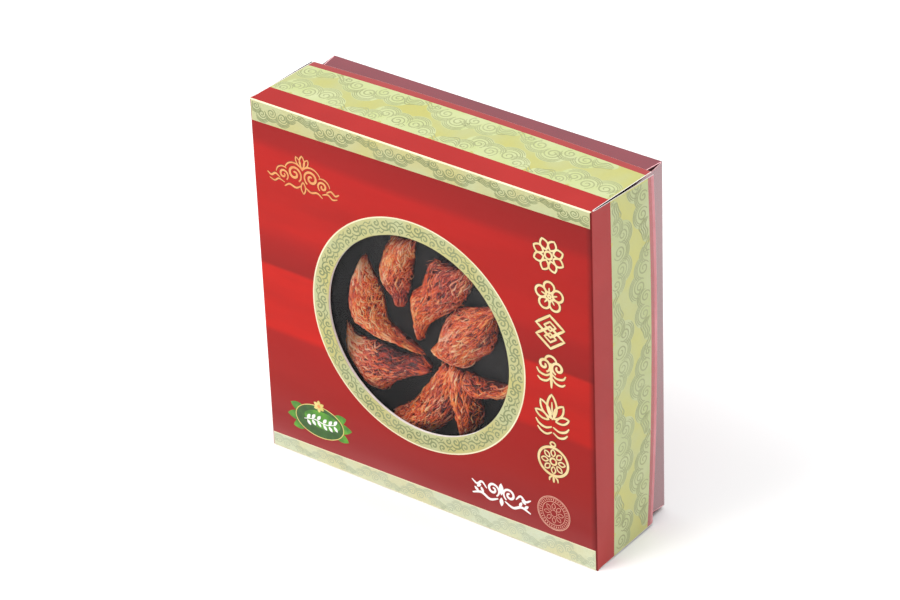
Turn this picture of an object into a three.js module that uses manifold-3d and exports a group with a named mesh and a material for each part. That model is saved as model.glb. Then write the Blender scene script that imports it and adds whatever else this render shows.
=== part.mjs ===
// Gift box of edible swiftlet nests, standing upright on its lower side.
// A printed card lid with a round window slides over a shallower tray. Behind the window's
// clear film a black platform carries six nests, laid with their tips towards one point.
// Millimetres. X runs along the face, +Y runs back into the box, Z is up.
// The origin is the middle of the box's footprint, on the surface it stands on.

import * as THREE from 'three';
import { mergeVertices } from 'three/addons/utils/BufferGeometryUtils.js';
import Module from 'manifold-3d';

const wasm = await Module();
wasm.setup();

// Driving sizes of the box
const FACE_SIZE = 220;
const LID_DEPTH = 52.8;
const BOX_DEPTH = 69.4;
const FRONT_Y = -BOX_DEPTH / 2;
const BACK_Y = BOX_DEPTH / 2;
const CLEARANCE = 0.3;

// Lid: one folded board, its walls doubled over, its corner seams left open
const LID_BOARD = 1.5;
const LID_WALL = 2.0;
const LID_SEAM_FRONT = 0.25;
const LID_SEAM_BACK = 1.1;

// How the lid's walls bend at their free edges: bow is the middle's bulge, and ends are how far
// the two ends lean out, or in where negative. Each wall's ends are given anticlockwise round
// the face, so the right wall goes from its lower end to its upper one.
const LID_BENDS = [
  { bow: 0, ends: [0, 0] },
  { bow: 2.7, ends: [0.2, 2.6] },
  { bow: 2.2, ends: [-1.0, -1.0] },
  { bow: 4.6, ends: [-1.0, 0.2] },
];
const FLAT_BENDS = Array(4).fill({ bow: 0, ends: [0, 0] });

// Window
const WINDOW_RADIUS = 59.7;
const WINDOW_X = -4.0;
const WINDOW_Z = 107.1;
const FILM_SIZE = 150;
const FILM_THICKNESS = 0.5;
const FILM_CORNER = 6;
const CIRCLE_SEGMENTS = 32;
const FILM_Y = FRONT_Y + LID_BOARD + CLEARANCE;

// Tray that the lid slides over
const TRAY_SIZE = 213.4;
const TRAY_BOARD = 1.5;
const TRAY_WALL = 2.0;
const TRAY_SEAM = 0.5;
const TRAY_BOTTOM_Z = LID_WALL + CLEARANCE;
const FILM_TO_TRAY = 1.2;
const TRAY_FRONT_Y = FILM_Y + FILM_THICKNESS + FILM_TO_TRAY;

// Platform behind the window
const PLATFORM_SIZE = 207;
const FACE_TO_PLATFORM = 18;
const PLATFORM_FACE_Y = FRONT_Y + FACE_TO_PLATFORM;
const PLATFORM_BOARD = 2.0;
const PLATFORM_WALL = 1.5;
const PLATFORM_SEAM = 0.4;
const PLATFORM_BOTTOM_Z = TRAY_BOTTOM_Z + TRAY_WALL + CLEARANCE;
const PLATFORM_BACK_Y = BACK_Y - TRAY_BOARD - CLEARANCE;

// Nests: cupped shells of strands, lying on their rims
const NEST_BED_Y = PLATFORM_FACE_Y - CLEARANCE;
const NEST_RIM = 2.2;
const NEST_SHELL = 3.4;
const HOLLOW_SHARE = 0.85;
const DOME_END = 0.05;
const DOME_CURVE_ALONG = 0.5;
const DOME_CURVE_ACROSS = 0.7;
const STEPS_ALONG = 13;
const STEPS_ACROSS = 14;

// Strand ridges: every second column of a lobe stands up, the others sink, in a slow wave
const STRAND_RIDGE = 0.8;
const STRAND_GROOVE = -0.32;
const WAVE_LEVEL = 0.75;
const WAVE_HEIGHT = 0.35;
const WAVE_ALONG = 9;
const WAVE_SHIFT = 2.3;

// Each nest is one or more lobes. A lobe runs out from the hub end along two edges, given as
// [x, z] points, and rises to its height between them. The left edge is on the left when
// looking outwards from the hub.
const NESTS = {
  nest_left: [{
    height: 10.5,
    left: [[-13.2, 86.4], [-22.2, 90.7], [-33.6, 89.6], [-47.2, 91.4], [-55.3, 93.7],
      [-59.1, 105.6], [-56.6, 118.8], [-52.4, 127.7], [-50.9, 132.5]],
    right: [[-25.4, 92.4], [-29.3, 93.7], [-35.6, 98.6], [-38.9, 112.1], [-41.2, 119],
      [-45.2, 125.6], [-48.7, 133.1]],
  }],
  nest_top: [{
    height: 9.5,
    left: [[-27.6, 114.2], [-27.4, 121.6], [-33.6, 125.6], [-37.2, 132.5], [-34.6, 142.6],
      [-31.4, 149.6], [-27.6, 155.4]],
    right: [[-23.3, 113], [-21.4, 119.5], [-18.8, 131.3], [-16.9, 142.6], [-15.9, 149.4],
      [-15.2, 155.8]],
  }],
  nest_upper_right: [{
    height: 10.5,
    left: [[-11.5, 97.1], [-14.4, 110.4], [-17, 122], [-9.6, 130.4], [-6.4, 140.9], [-2.2, 147.6],
      [5.6, 147.8]],
    right: [[-11.4, 98.4], [-9.4, 103.2], [-6.4, 107.8], [4.1, 116.9], [17.8, 131.2],
      [21.6, 139.6], [23.8, 149.1]],
  }],
  nest_right: [{
    height: 10.8,
    left: [[-4.6, 92.8], [0.1, 98.7], [3.1, 109], [9.7, 119.5], [14.3, 123.3], [26.5, 127.1],
      [35.6, 130.6]],
    right: [[-0.6, 95.2], [7.4, 89.4], [17, 88], [24.5, 95.6], [33.8, 104.5], [37, 113.6],
      [38, 121.6]],
  }],
  nest_lower_left: [{
    height: 10.5,
    left: [[-8.6, 75.8], [-13.4, 73.1], [-19.4, 70.2], [-25.6, 66.6], [-33.4, 60.6],
      [-38.6, 54.6], [-45.6, 54.2], [-51, 60.9], [-55.6, 64.6], [-59.4, 65.1]],
    right: [[-8, 79.9], [-14.5, 83.9], [-27.3, 80.5], [-38.2, 82.1], [-50.6, 81.3], [-59.5, 81.9],
      [-62.4, 86]],
  }],
  nest_lower_right: [
    {
      height: 10.5,
      left: [[15.1, 79], [10, 62.2], [2.8, 48.5], [-5.1, 40.7], [-15.6, 34.5], [-27.6, 33.3]],
      right: [[1.6, 84.4], [-5.1, 74.2], [-12.3, 63.6], [-20.8, 52.4], [-33.5, 42.4]],
    },
    {
      height: 11.3,
      left: [[21.1, 83], [24.6, 70.4], [26.5, 61.3], [23.6, 51.7], [15.5, 38.7]],
      right: [[6.2, 87.9], [6.5, 74.2], [13.3, 61.9], [16.2, 49]],
    },
    {
      height: 8.5,
      left: [[13.8, 85.1], [25.5, 83.3], [35.8, 84.4], [43.1, 84.5], [47.2, 89.3]],
      right: [[14.4, 74.9], [28, 73.4], [36.2, 77], [42.8, 78.2], [48.2, 79.6]],
    },
  ],
};

const printedBoard = new THREE.MeshStandardMaterial({
  color: 0xb3202a, roughness: 0.35, metalness: 0,
});
const clearFilm = new THREE.MeshStandardMaterial({
  color: 0xeef4f6, roughness: 0.08, metalness: 0, transparent: true, opacity: 0.25,
});
const trayBoard = new THREE.MeshStandardMaterial({ color: 0x7a4252, roughness: 0.4, metalness: 0 });
const blackBoard = new THREE.MeshStandardMaterial({ color: 0x15171a, roughness: 0.6, metalness: 0 });
const driedStrands = new THREE.MeshStandardMaterial({ color: 0xa4441f, roughness: 0.55, metalness: 0 });

// A closed three.js mesh as a solid that can be joined or cut
function solidOf(geometry) {
  const bare = geometry.clone();
  bare.deleteAttribute('normal');
  bare.deleteAttribute('uv');
  const merged = mergeVertices(bare, 1e-4);
  return new wasm.Manifold(new wasm.Mesh({
    numProp: 3,
    vertProperties: Float32Array.from(merged.attributes.position.array),
    triVerts: Uint32Array.from(merged.index.array),
  }));
}

// The joined or cut solid as a three.js mesh again
function geometryOf(solid) {
  const mesh = solid.getMesh();
  const geometry = new THREE.BufferGeometry();
  geometry.setAttribute('position', new THREE.BufferAttribute(mesh.vertProperties, 3));
  geometry.setIndex(new THREE.BufferAttribute(mesh.triVerts, 1));
  geometry.computeVertexNormals();
  return geometry;
}

function joined(geometries) {
  return geometryOf(geometries.map(solidOf).reduce((whole, next) => whole.add(next)));
}

function signedVolume(points, faces) {
  const [a, b, c] = [new THREE.Vector3(), new THREE.Vector3(), new THREE.Vector3()];
  return faces.reduce((sum, [i, j, k]) => {
    a.fromArray(points[i]);
    b.fromArray(points[j]);
    c.fromArray(points[k]);
    return sum + a.dot(b.cross(c)) / 6;
  }, 0);
}

// A slab between two grids of points that face each other, closed around its border
function closedSlab(stepsU, stepsV, upper, lower) {
  const points = [];
  const faces = [];
  const row = stepsV + 1;
  const under = (stepsU + 1) * row;
  for (const surface of [upper, lower]) {
    for (let i = 0; i <= stepsU; i += 1) {
      for (let j = 0; j <= stepsV; j += 1) {
        points.push(surface(i / stepsU, j / stepsV));
      }
    }
  }
  const quad = (a, b, c, d) => faces.push([a, b, c], [a, c, d]);
  for (let i = 0; i < stepsU; i += 1) {
    for (let j = 0; j < stepsV; j += 1) {
      const corner = i * row + j;
      quad(corner, corner + row, corner + row + 1, corner + 1);
      quad(under + corner, under + corner + 1, under + corner + row + 1, under + corner + row);
    }
  }
  const border = [];
  for (let j = 0; j < stepsV; j += 1) border.push(j);
  for (let i = 0; i < stepsU; i += 1) border.push(i * row + stepsV);
  for (let j = stepsV; j > 0; j -= 1) border.push(stepsU * row + j);
  for (let i = stepsU; i > 0; i -= 1) border.push(i * row);
  border.forEach((here, index) => {
    const next = border[(index + 1) % border.length];
    quad(here, next, under + next, under + here);
  });
  if (signedVolume(points, faces) < 0) {
    faces.forEach((face) => face.reverse());
  }
  const geometry = new THREE.BufferGeometry();
  geometry.setAttribute('position', new THREE.Float32BufferAttribute(points.flat(), 3));
  geometry.setIndex(faces.flat());
  geometry.computeVertexNormals();
  return geometry;
}

function squareShape(size, centreX, centreZ, corner = 0) {
  const half = size / 2;
  const shape = new THREE.Shape();
  if (corner === 0) {
    shape.moveTo(centreX - half, centreZ - half);
    shape.lineTo(centreX + half, centreZ - half);
    shape.lineTo(centreX + half, centreZ + half);
    shape.lineTo(centreX - half, centreZ + half);
    return shape;
  }
  const inner = half - corner;
  const turns = [[1, -1], [1, 1], [-1, 1], [-1, -1]];
  turns.forEach(([sideX, sideZ], index) => {
    const start = (index - 1) * Math.PI / 2;
    shape.absarc(centreX + sideX * inner, centreZ + sideZ * inner, corner, start, start + Math.PI / 2);
  });
  return shape;
}

// A flat board in the XZ plane, from the plane at frontY back to frontY + thickness
function board(shape, frontY, thickness, curveSegments = 4) {
  const geometry = new THREE.ExtrudeGeometry(shape, {
    depth: thickness, bevelEnabled: false, curveSegments,
  });
  geometry.rotateX(Math.PI / 2);
  geometry.translate(0, frontY + thickness, 0);
  return geometry;
}

// One doubled wall of a folded tray. It starts at the fold and runs to the free edge, where it
// bends. Its mitred ends stop short of their neighbours by a seam that widens towards the free
// edge: a neighbour that leans in shortens the wall, and one that leans out leaves the seam open.
function foldedWall(tray, turn) {
  const half = tray.size / 2;
  const { bow, ends } = tray.bends[turn];
  const before = tray.bends[(turn + 3) % 4].ends[1];
  const after = tray.bends[(turn + 1) % 4].ends[0];
  const stepsAlong = bow > 0 ? 12 : 1;
  const stepsDeep = bow > 0 ? 3 : 1;
  const surface = (inset) => (along, deep) => {
    const side = 2 * along - 1;
    const leanIn = Math.min(side > 0 ? after : before, 0);
    const seam = THREE.MathUtils.lerp(tray.seamAtFold, tray.seamAtEdge, deep);
    const reach = half + leanIn * deep - seam - inset;
    const lean = THREE.MathUtils.lerp(ends[0], ends[1], along);
    const outward = deep * (lean + bow * (1 - side * side));
    return [side * reach, tray.foldY + tray.direction * deep * tray.depth, -half - outward + inset];
  };
  const geometry = closedSlab(stepsAlong, stepsDeep, surface(0), surface(tray.wall));
  geometry.rotateY(-turn * Math.PI / 2);
  geometry.translate(0, 0, tray.centreZ);
  return geometry;
}

// A tray folded from one board: a square panel at foldY and four walls away from it
function foldedTray(given) {
  const tray = { bends: FLAT_BENDS, direction: 1, ...given };
  const panelShape = squareShape(tray.size, 0, tray.centreZ);
  if (tray.hole) {
    panelShape.holes.push(tray.hole);
  }
  const panelY = tray.direction > 0 ? tray.foldY : tray.foldY - tray.board;
  const panel = board(panelShape, panelY, tray.board, CIRCLE_SEGMENTS);
  return joined([panel, ...[0, 1, 2, 3].map((turn) => foldedWall(tray, turn))]);
}

// One cupped lobe of a nest, ridged lengthwise by its strands
function nestLobe({ height, left, right }) {
  const edge = (points) => new THREE.CatmullRomCurve3(
    points.map(([x, z]) => new THREE.Vector3(x, 0, z)), false, 'centripetal');
  const leftEdge = edge(left);
  const rightEdge = edge(right);
  const dome = (along, across) => {
    const inward = THREE.MathUtils.lerp(DOME_END, 1 - DOME_END, along);
    const lengthwise = Math.sin(Math.PI * inward) ** DOME_CURVE_ALONG;
    return height * lengthwise * Math.sin(Math.PI * across) ** DOME_CURVE_ACROSS;
  };
  const ridge = (along, across) => {
    const column = Math.round(across * STEPS_ACROSS);
    if (column === 0 || column === STEPS_ACROSS) {
      return 0;
    }
    const wave = WAVE_LEVEL + WAVE_HEIGHT * Math.sin(WAVE_ALONG * along + WAVE_SHIFT * column);
    return (column % 2 === 1 ? STRAND_RIDGE : STRAND_GROOVE) * wave;
  };
  const place = (along, across, lift) => {
    const point = leftEdge.getPointAt(along).lerp(rightEdge.getPointAt(along), across);
    return [point.x, NEST_BED_Y - lift, point.z];
  };
  const outer = (along, across) => place(
    along, across, NEST_RIM + dome(along, across) + ridge(along, across));
  const hollow = (along, across) => {
    const onBorder = along === 0 || along === 1 || across === 0 || across === 1;
    const lift = Math.max(0, NEST_RIM + dome(along, across) - NEST_SHELL);
    return place(along, across, onBorder ? 0 : HOLLOW_SHARE * lift);
  };
  return closedSlab(STEPS_ALONG, STEPS_ACROSS, outer, hollow);
}

const model = new THREE.Group();

function addPart(name, geometry, material) {
  const mesh = new THREE.Mesh(geometry, material);
  mesh.name = name;
  model.add(mesh);
}

// Lid
const windowHole = new THREE.Path();
windowHole.absarc(WINDOW_X, WINDOW_Z, WINDOW_RADIUS, 0, 2 * Math.PI, true);
addPart('lid', foldedTray({
  size: FACE_SIZE,
  centreZ: FACE_SIZE / 2,
  foldY: FRONT_Y,
  depth: LID_DEPTH,
  board: LID_BOARD,
  wall: LID_WALL,
  bends: LID_BENDS,
  seamAtFold: LID_SEAM_FRONT,
  seamAtEdge: LID_SEAM_BACK,
  hole: windowHole,
}), printedBoard);

// Clear film behind the window
const filmShape = squareShape(FILM_SIZE, WINDOW_X, WINDOW_Z, FILM_CORNER);
addPart('window_film', board(filmShape, FILM_Y, FILM_THICKNESS), clearFilm);

// Tray, its panel at the back and its walls running forward inside the lid
addPart('tray', foldedTray({
  size: TRAY_SIZE,
  centreZ: TRAY_BOTTOM_Z + TRAY_SIZE / 2,
  foldY: BACK_Y,
  direction: -1,
  depth: BACK_Y - TRAY_FRONT_Y,
  board: TRAY_BOARD,
  wall: TRAY_WALL,
  seamAtFold: TRAY_SEAM,
  seamAtEdge: TRAY_SEAM,
}), trayBoard);

// Platform that holds the nests up behind the window
addPart('platform', foldedTray({
  size: PLATFORM_SIZE,
  centreZ: PLATFORM_BOTTOM_Z + PLATFORM_SIZE / 2,
  foldY: PLATFORM_FACE_Y,
  depth: PLATFORM_BACK_Y - PLATFORM_FACE_Y,
  board: PLATFORM_BOARD,
  wall: PLATFORM_WALL,
  seamAtFold: PLATFORM_SEAM,
  seamAtEdge: PLATFORM_SEAM,
}), blackBoard);

// Nests
for (const [name, lobes] of Object.entries(NESTS)) {
  addPart(name, joined(lobes.map(nestLobe)), driedStrands);
}

export default model;
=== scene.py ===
"""Looks of an upright gift box of dried swiftlet nests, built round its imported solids.

Points and sizes are written in millimetres in the frame's axes: X runs along the face, +Y runs
back into the box and Z is up. Meshes are turned into metres as they are made.
"""

import logging
import math
from collections.abc import Callable, Sequence
from dataclasses import dataclass, field, replace
from enum import Enum, IntEnum

import bmesh
import bpy
import numpy as np
from mathutils import Matrix, Vector
from mathutils.geometry import delaunay_2d_cdt

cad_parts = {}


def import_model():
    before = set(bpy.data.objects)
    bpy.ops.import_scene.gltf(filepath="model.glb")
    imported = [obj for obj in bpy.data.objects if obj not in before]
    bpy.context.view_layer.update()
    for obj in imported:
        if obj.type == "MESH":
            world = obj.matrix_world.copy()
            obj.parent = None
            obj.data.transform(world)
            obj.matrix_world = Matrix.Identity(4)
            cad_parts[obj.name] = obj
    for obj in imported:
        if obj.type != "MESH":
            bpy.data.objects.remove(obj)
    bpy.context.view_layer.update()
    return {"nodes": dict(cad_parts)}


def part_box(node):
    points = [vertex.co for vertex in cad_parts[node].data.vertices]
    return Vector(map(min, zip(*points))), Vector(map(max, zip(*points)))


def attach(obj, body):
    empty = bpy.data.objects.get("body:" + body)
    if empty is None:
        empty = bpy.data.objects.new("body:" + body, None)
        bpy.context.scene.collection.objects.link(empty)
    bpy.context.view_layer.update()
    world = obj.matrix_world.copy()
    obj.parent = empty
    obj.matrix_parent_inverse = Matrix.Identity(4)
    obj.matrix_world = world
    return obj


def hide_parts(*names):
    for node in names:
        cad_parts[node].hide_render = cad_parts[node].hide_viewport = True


LOG = logging.getLogger("gift_box")
METRES = 0.001  # one millimetre
SKIN = 0.1  # how far the card's faces lie inside the solids' faces, which leaves room for print
LAYER = 0.002  # the step between two prints that overlap
FACE_HALF = 110  # half the face's side; the sloping gold bands start from its left edge

Colour = tuple[float, float, float]
Point2 = tuple[float, float]
Piece = bpy.types.Object
Material = bpy.types.Material
Laying = Callable[[np.ndarray], np.ndarray]


def smoothstep(low: float, high: float, value: np.ndarray | float) -> np.ndarray | float:
    """Eases from 0 at low to 1 at high.

    Args:
        low: Where the step starts.
        high: Where the step ends.
        value: The value or values to ease.

    Returns:
        The eased share, from 0 to 1.
    """
    share = np.clip((value - low) / (high - low), 0.0, 1.0)
    return share * share * (3.0 - 2.0 * share)


def smooth_noise(rng: np.random.Generator, count: int, knots: int) -> np.ndarray:
    """Makes a smooth random curve through evenly spaced random knots.

    Args:
        rng: The seeded source of randomness.
        count: How many samples to return.
        knots: How many random knots the curve passes through.

    Returns:
        The samples, roughly from -1 to 1.
    """
    values = rng.uniform(-1, 1, knots)
    where = np.linspace(0, knots - 1, count)
    low = np.clip(where.astype(int), 0, knots - 2)
    share = smoothstep(0, 1, where - low)
    return values[low] * (1 - share) + values[low + 1] * share


def ring_faces(count: int) -> list[tuple[int, ...]]:
    """Returns the quads between a closed loop and the next one, of count points each."""
    return [(i, (i + 1) % count, count + (i + 1) % count, count + i) for i in range(count)]


def fan_faces(count: int, middle: int) -> list[tuple[int, ...]]:
    """Returns the triangles between a closed loop of count points and a middle point."""
    return [(i, (i + 1) % count, middle) for i in range(count)]


def add_object(name: str, data: bpy.types.ID) -> Piece:
    """Adds an object to the scene and returns it."""
    made = bpy.data.objects.new(name, data)
    bpy.context.scene.collection.objects.link(made)
    return made


@dataclass
class MeshDraft:
    """A mesh put together in millimetres, with a material slot for each face."""

    points: list[np.ndarray] = field(default_factory=list)
    faces: list[tuple[int, ...]] = field(default_factory=list)
    slots: list[int] = field(default_factory=list)
    count: int = 0

    def add(self, points: np.ndarray, faces: Sequence[Sequence[int]], slot: int = 0) -> None:
        """Adds points and the faces that use them.

        Args:
            points: Rows of x, y, z.
            faces: Faces by index into those rows.
            slot: The material slot of the faces.
        """
        start = self.count
        self.points.append(np.asarray(points, float).reshape(-1, 3))
        self.count += len(self.points[-1])
        self.faces.extend(tuple(int(i) + start for i in face) for face in faces)
        self.slots.extend([slot] * len(faces))

    def add_grid(self, grid: np.ndarray, row_slots: Sequence[int],
                 end_slot: int | None = None) -> None:
        """Adds a grid of points as quads.

        Args:
            grid: Points by row and column.
            row_slots: The material slot of each strip between two rows.
            end_slot: The slot of the first and last columns, where it isn't the rows' own.
        """
        rows, columns, _ = grid.shape
        start = self.count
        self.points.append(grid.reshape(-1, 3))
        self.count += rows * columns
        for row in range(rows - 1):
            for column in range(columns - 1):
                corner = start + row * columns + column
                self.faces.append((corner, corner + 1, corner + columns + 1, corner + columns))
                at_end = end_slot is not None and column in (0, columns - 2)
                self.slots.append(end_slot if at_end else row_slots[row])

    def build(self, name: str, materials: Sequence[Material],
              sharp_degrees: float = 35.0, merge: float = 1e-3) -> Piece:
        """Turns the draft into an object with merged doubles and outward faces.

        Args:
            name: The object's name.
            materials: The materials, by slot.
            sharp_degrees: Edges sharper than this stay sharp.
            merge: Points closer than this become one, in millimetres.

        Returns:
            The new object, linked to the scene.
        """
        mesh = bpy.data.meshes.new(name)
        points = np.concatenate(self.points) * METRES
        mesh.from_pydata(points.tolist(), [], self.faces)
        mesh.polygons.foreach_set("material_index", self.slots)
        work = bmesh.new()
        work.from_mesh(mesh)
        bmesh.ops.remove_doubles(work, verts=work.verts, dist=merge * METRES)
        bmesh.ops.recalc_face_normals(work, faces=work.faces)
        for face in work.faces:
            face.smooth = True
        work.to_mesh(mesh)
        work.free()
        mesh.set_sharp_from_angle(angle=math.radians(sharp_degrees))
        for material in materials:
            mesh.materials.append(material)
        return add_object(name, mesh)


def add_wall_end(draft: MeshDraft, outline: np.ndarray, edge_slot: int, core_slot: int,
                 edge: float = 0.3) -> None:
    """Closes a wall's end with a cut edge round a shaded core.

    Args:
        draft: The mesh to add to.
        outline: The end's outline, going round once.
        edge_slot: The slot of the cut edge.
        core_slot: The slot of the core.
        edge: The cut edge's width.
    """
    count = len(outline)
    middle = outline.mean(axis=0)
    inward = middle - outline
    reach = np.maximum(np.linalg.norm(inward, axis=1, keepdims=True), 1e-6)
    inner = outline + inward / reach * np.minimum(edge, 0.4 * reach)
    draft.add(np.vstack([outline, inner]), ring_faces(count), edge_slot)
    draft.add(np.vstack([inner, middle]), fan_faces(count, count), core_slot)


def plain_mesh(made: Piece, name: str) -> Piece:
    """Turns an object with live modifiers into a plain mesh and removes the first one.

    Args:
        made: The object to evaluate.
        name: The plain object's name.

    Returns:
        The plain object.
    """
    evaluated = made.evaluated_get(bpy.context.evaluated_depsgraph_get())
    mesh = bpy.data.meshes.new_from_object(evaluated)
    mesh.name = name
    bpy.data.objects.remove(made)
    return add_object(name, mesh)


def report(piece: Piece, slot: str, *nodes: str) -> None:
    """Fixes a piece to the box's one body and logs it.

    Args:
        piece: The finished piece.
        slot: The name of the record's material slot for the piece; not used.
        nodes: The solids that the piece stands for.
    """
    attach(piece, "root")
    if nodes:
        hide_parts(*nodes)
    LOG.info("%s: %d faces", piece.name, len(piece.data.polygons))


class NodeBench:
    """Builds the node tree of one material around its Principled shader."""

    def __init__(self, name: str) -> None:
        """Makes the material and its coordinates.

        Args:
            name: The material's name.
        """
        self.material = bpy.data.materials.new(name)
        self.material.use_nodes = True
        self.tree = self.material.node_tree
        self.shader = self.tree.nodes["Principled BSDF"]
        self.place = self.node("ShaderNodeTexCoord").outputs["Object"]

    def node(self, kind: str, **settings: object) -> bpy.types.ShaderNode:
        """Adds a node and sets its properties by name."""
        made = self.tree.nodes.new(kind)
        for key, value in settings.items():
            setattr(made, key, value)
        return made

    def link(self, source: object, target: object) -> None:
        """Links an output to an input, or sets the input where the source is a value."""
        if isinstance(source, bpy.types.NodeSocket):
            self.tree.links.new(source, target)
        else:
            target.default_value = source

    def set(self, **values: object) -> None:
        """Sets the shader's own sockets, with underscores for the spaces in their names."""
        for key, value in values.items():
            self.link(value, self.shader.inputs[key.replace("_", " ")])

    def math(self, operation: str, first: object, second: object = 0.0) -> object:
        """Adds a Math node and returns its output."""
        made = self.node("ShaderNodeMath", operation=operation)
        self.link(first, made.inputs[0])
        self.link(second, made.inputs[1])
        return made.outputs[0]

    def noise(self, scale: float, detail: float = 3.0, rough: float = 0.5,
              stretch: Sequence[float] = (1, 1, 1)) -> object:
        """Adds a noise over the object's coordinates.

        Args:
            scale: Features per metre.
            detail: Octaves.
            rough: How strong the fine octaves are.
            stretch: A scale for each axis.

        Returns:
            The noise's value output.
        """
        mapping = self.node("ShaderNodeMapping")
        self.link(self.place, mapping.inputs["Vector"])
        mapping.inputs["Scale"].default_value = stretch
        made = self.node("ShaderNodeTexNoise")
        self.link(mapping.outputs[0], made.inputs["Vector"])
        made.inputs["Scale"].default_value = scale
        made.inputs["Detail"].default_value = detail
        made.inputs["Roughness"].default_value = rough
        return made.outputs[0]

    def ramp(self, factor: object, stops: Sequence[tuple[float, Colour]]) -> object:
        """Adds a colour ramp.

        Args:
            factor: Where along the ramp to read it.
            stops: Each stop's place and colour.

        Returns:
            The colour output.
        """
        made = self.node("ShaderNodeValToRGB")
        elements = made.color_ramp.elements
        while len(elements) < len(stops):
            elements.new(0.5)
        for element, (position, colour) in zip(elements, stops):
            element.position = position
            element.color = (*colour, 1.0)
        self.link(factor, made.inputs[0])
        return made.outputs[0]

    def mix(self, factor: object, first: object, second: object) -> object:
        """Mixes two colours and returns the result's output."""
        made = self.node("ShaderNodeMix", data_type="RGBA")
        self.link(factor, made.inputs[0])
        for value, socket in ((first, made.inputs[6]), (second, made.inputs[7])):
            self.link((*value, 1.0) if isinstance(value, tuple) else value, socket)
        return made.outputs[2]

    def bump(self, height: object, depth_mm: float, under: object = None) -> object:
        """Adds a bump of a given depth and returns its normal output."""
        made = self.node("ShaderNodeBump")
        made.inputs["Distance"].default_value = depth_mm * METRES
        self.link(height, made.inputs["Height"])
        if under is not None:
            self.link(under, made.inputs["Normal"])
        return made.outputs[0]

    def map_range(self, value: object, low: float, high: float,
                  to_low: float, to_high: float) -> object:
        """Adds a clamped Map Range node and returns its output."""
        made = self.node("ShaderNodeMapRange")
        self.link(value, made.inputs[0])
        for index, number in enumerate((low, high, to_low, to_high), start=1):
            made.inputs[index].default_value = number
        return made.outputs[0]


@dataclass(frozen=True)
class InkFinish:
    """A printed or laminated card surface of one colour, varied in soft patches."""

    name: str
    colour: Colour
    patches: Colour
    patch_mm: float = 30.0
    roughness: float = 0.35
    metallic: float = 0.0
    specular: float = 0.5
    coat: float = 0.0
    grain_mm: float = 0.5
    grain_depth: float = 0.006
    wave_depth: float = 0.0

    def build(self) -> Material:
        """Builds the material.

        Returns:
            The material.
        """
        bench = NodeBench(self.name)
        patch = bench.noise(1000 / self.patch_mm, 3.0, 0.55)
        bench.set(Base_Color=bench.ramp(patch, [(0.35, self.colour), (0.68, self.patches)]))
        smear = bench.noise(1000 / (0.6 * self.patch_mm), 4.0, 0.6)
        bench.set(Roughness=bench.map_range(smear, 0.3, 0.7, self.roughness * 0.85,
                                            self.roughness * 1.15),
                  Metallic=self.metallic, Specular_IOR_Level=self.specular,
                  Coat_Weight=self.coat, Coat_IOR=1.9, Coat_Roughness=0.15)
        normal = None
        if self.wave_depth:
            normal = bench.bump(bench.noise(28, 1.0), self.wave_depth)
        normal = bench.bump(bench.noise(1000 / self.grain_mm, 2.0), self.grain_depth, under=normal)
        bench.set(Normal=normal)
        return bench.material


@dataclass(frozen=True)
class SatinPrint:
    """The face's red print, a soft satin drape in broad level folds, with painted shade towards the
    right and along the right fold and a pinkish painted reflection at the bottom.
    """

    name: str = "red_satin_print"
    deep: Colour = (0.27, 0.010, 0.009)
    middle: Colour = (0.42, 0.011, 0.007)
    bright: Colour = (0.54, 0.012, 0.006)

    def build(self) -> Material:
        """Builds the material.

        Returns:
            The material.
        """
        bench = NodeBench(self.name)
        split = bench.node("ShaderNodeSeparateXYZ")
        bench.link(bench.place, split.inputs[0])
        sway = bench.noise(5.5, 1.0, 0.4, stretch=(1, 0, 0.35))
        level = bench.math("ADD", split.outputs[2],
                           bench.math("MULTIPLY", bench.math("SUBTRACT", sway, 0.5), 0.022))
        share = bench.math("DIVIDE", level, 0.22)
        # The ramp is the printed drape, except its lowest stop: a pinkish painted reflection of the
        # pale floor near the bottom.
        folds = bench.ramp(share, [
            (0.04, (0.33, 0.060, 0.062)), (0.10, (0.28, 0.026, 0.026)),
            (0.20, (0.32, 0.016, 0.013)), (0.335, (0.35, 0.010, 0.008)),
            (0.350, self.bright), (0.44, (0.48, 0.011, 0.006)), (0.522, self.bright),
            (0.532, (0.28, 0.010, 0.008)), (0.61, (0.37, 0.010, 0.008)),
            (0.645, (0.46, 0.011, 0.007)), (0.74, self.middle), (0.855, (0.46, 0.011, 0.008)),
            (0.880, (0.32, 0.010, 0.009)), (0.96, self.deep),
        ])
        # Painted shade: the red darkens towards the right side, and into a dark strip along the
        # right fold.
        across = bench.map_range(split.outputs[0], -0.06, 0.11, 1.0, 0.76)
        folds = bench.mix(across, (0.12, 0.004, 0.003), folds)
        fold = bench.map_range(split.outputs[0], 0.1062, 0.1096, 0.0, 0.75)
        folds = bench.mix(fold, folds, (0.09, 0.004, 0.005))
        cloth = bench.noise(26, 4.0, 0.6, stretch=(0.35, 1, 1.6))
        mottled = bench.mix(bench.map_range(cloth, 0.35, 0.75, 0.0, 0.45), folds,
                            (0.25, 0.008, 0.007))
        bench.set(Base_Color=mottled, Roughness=0.36, Specular_IOR_Level=0.12)
        card = bench.bump(bench.noise(14, 1.0), 0.35)
        bench.set(Normal=bench.bump(bench.noise(1800, 2.0), 0.004, under=card))
        return bench.material


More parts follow.
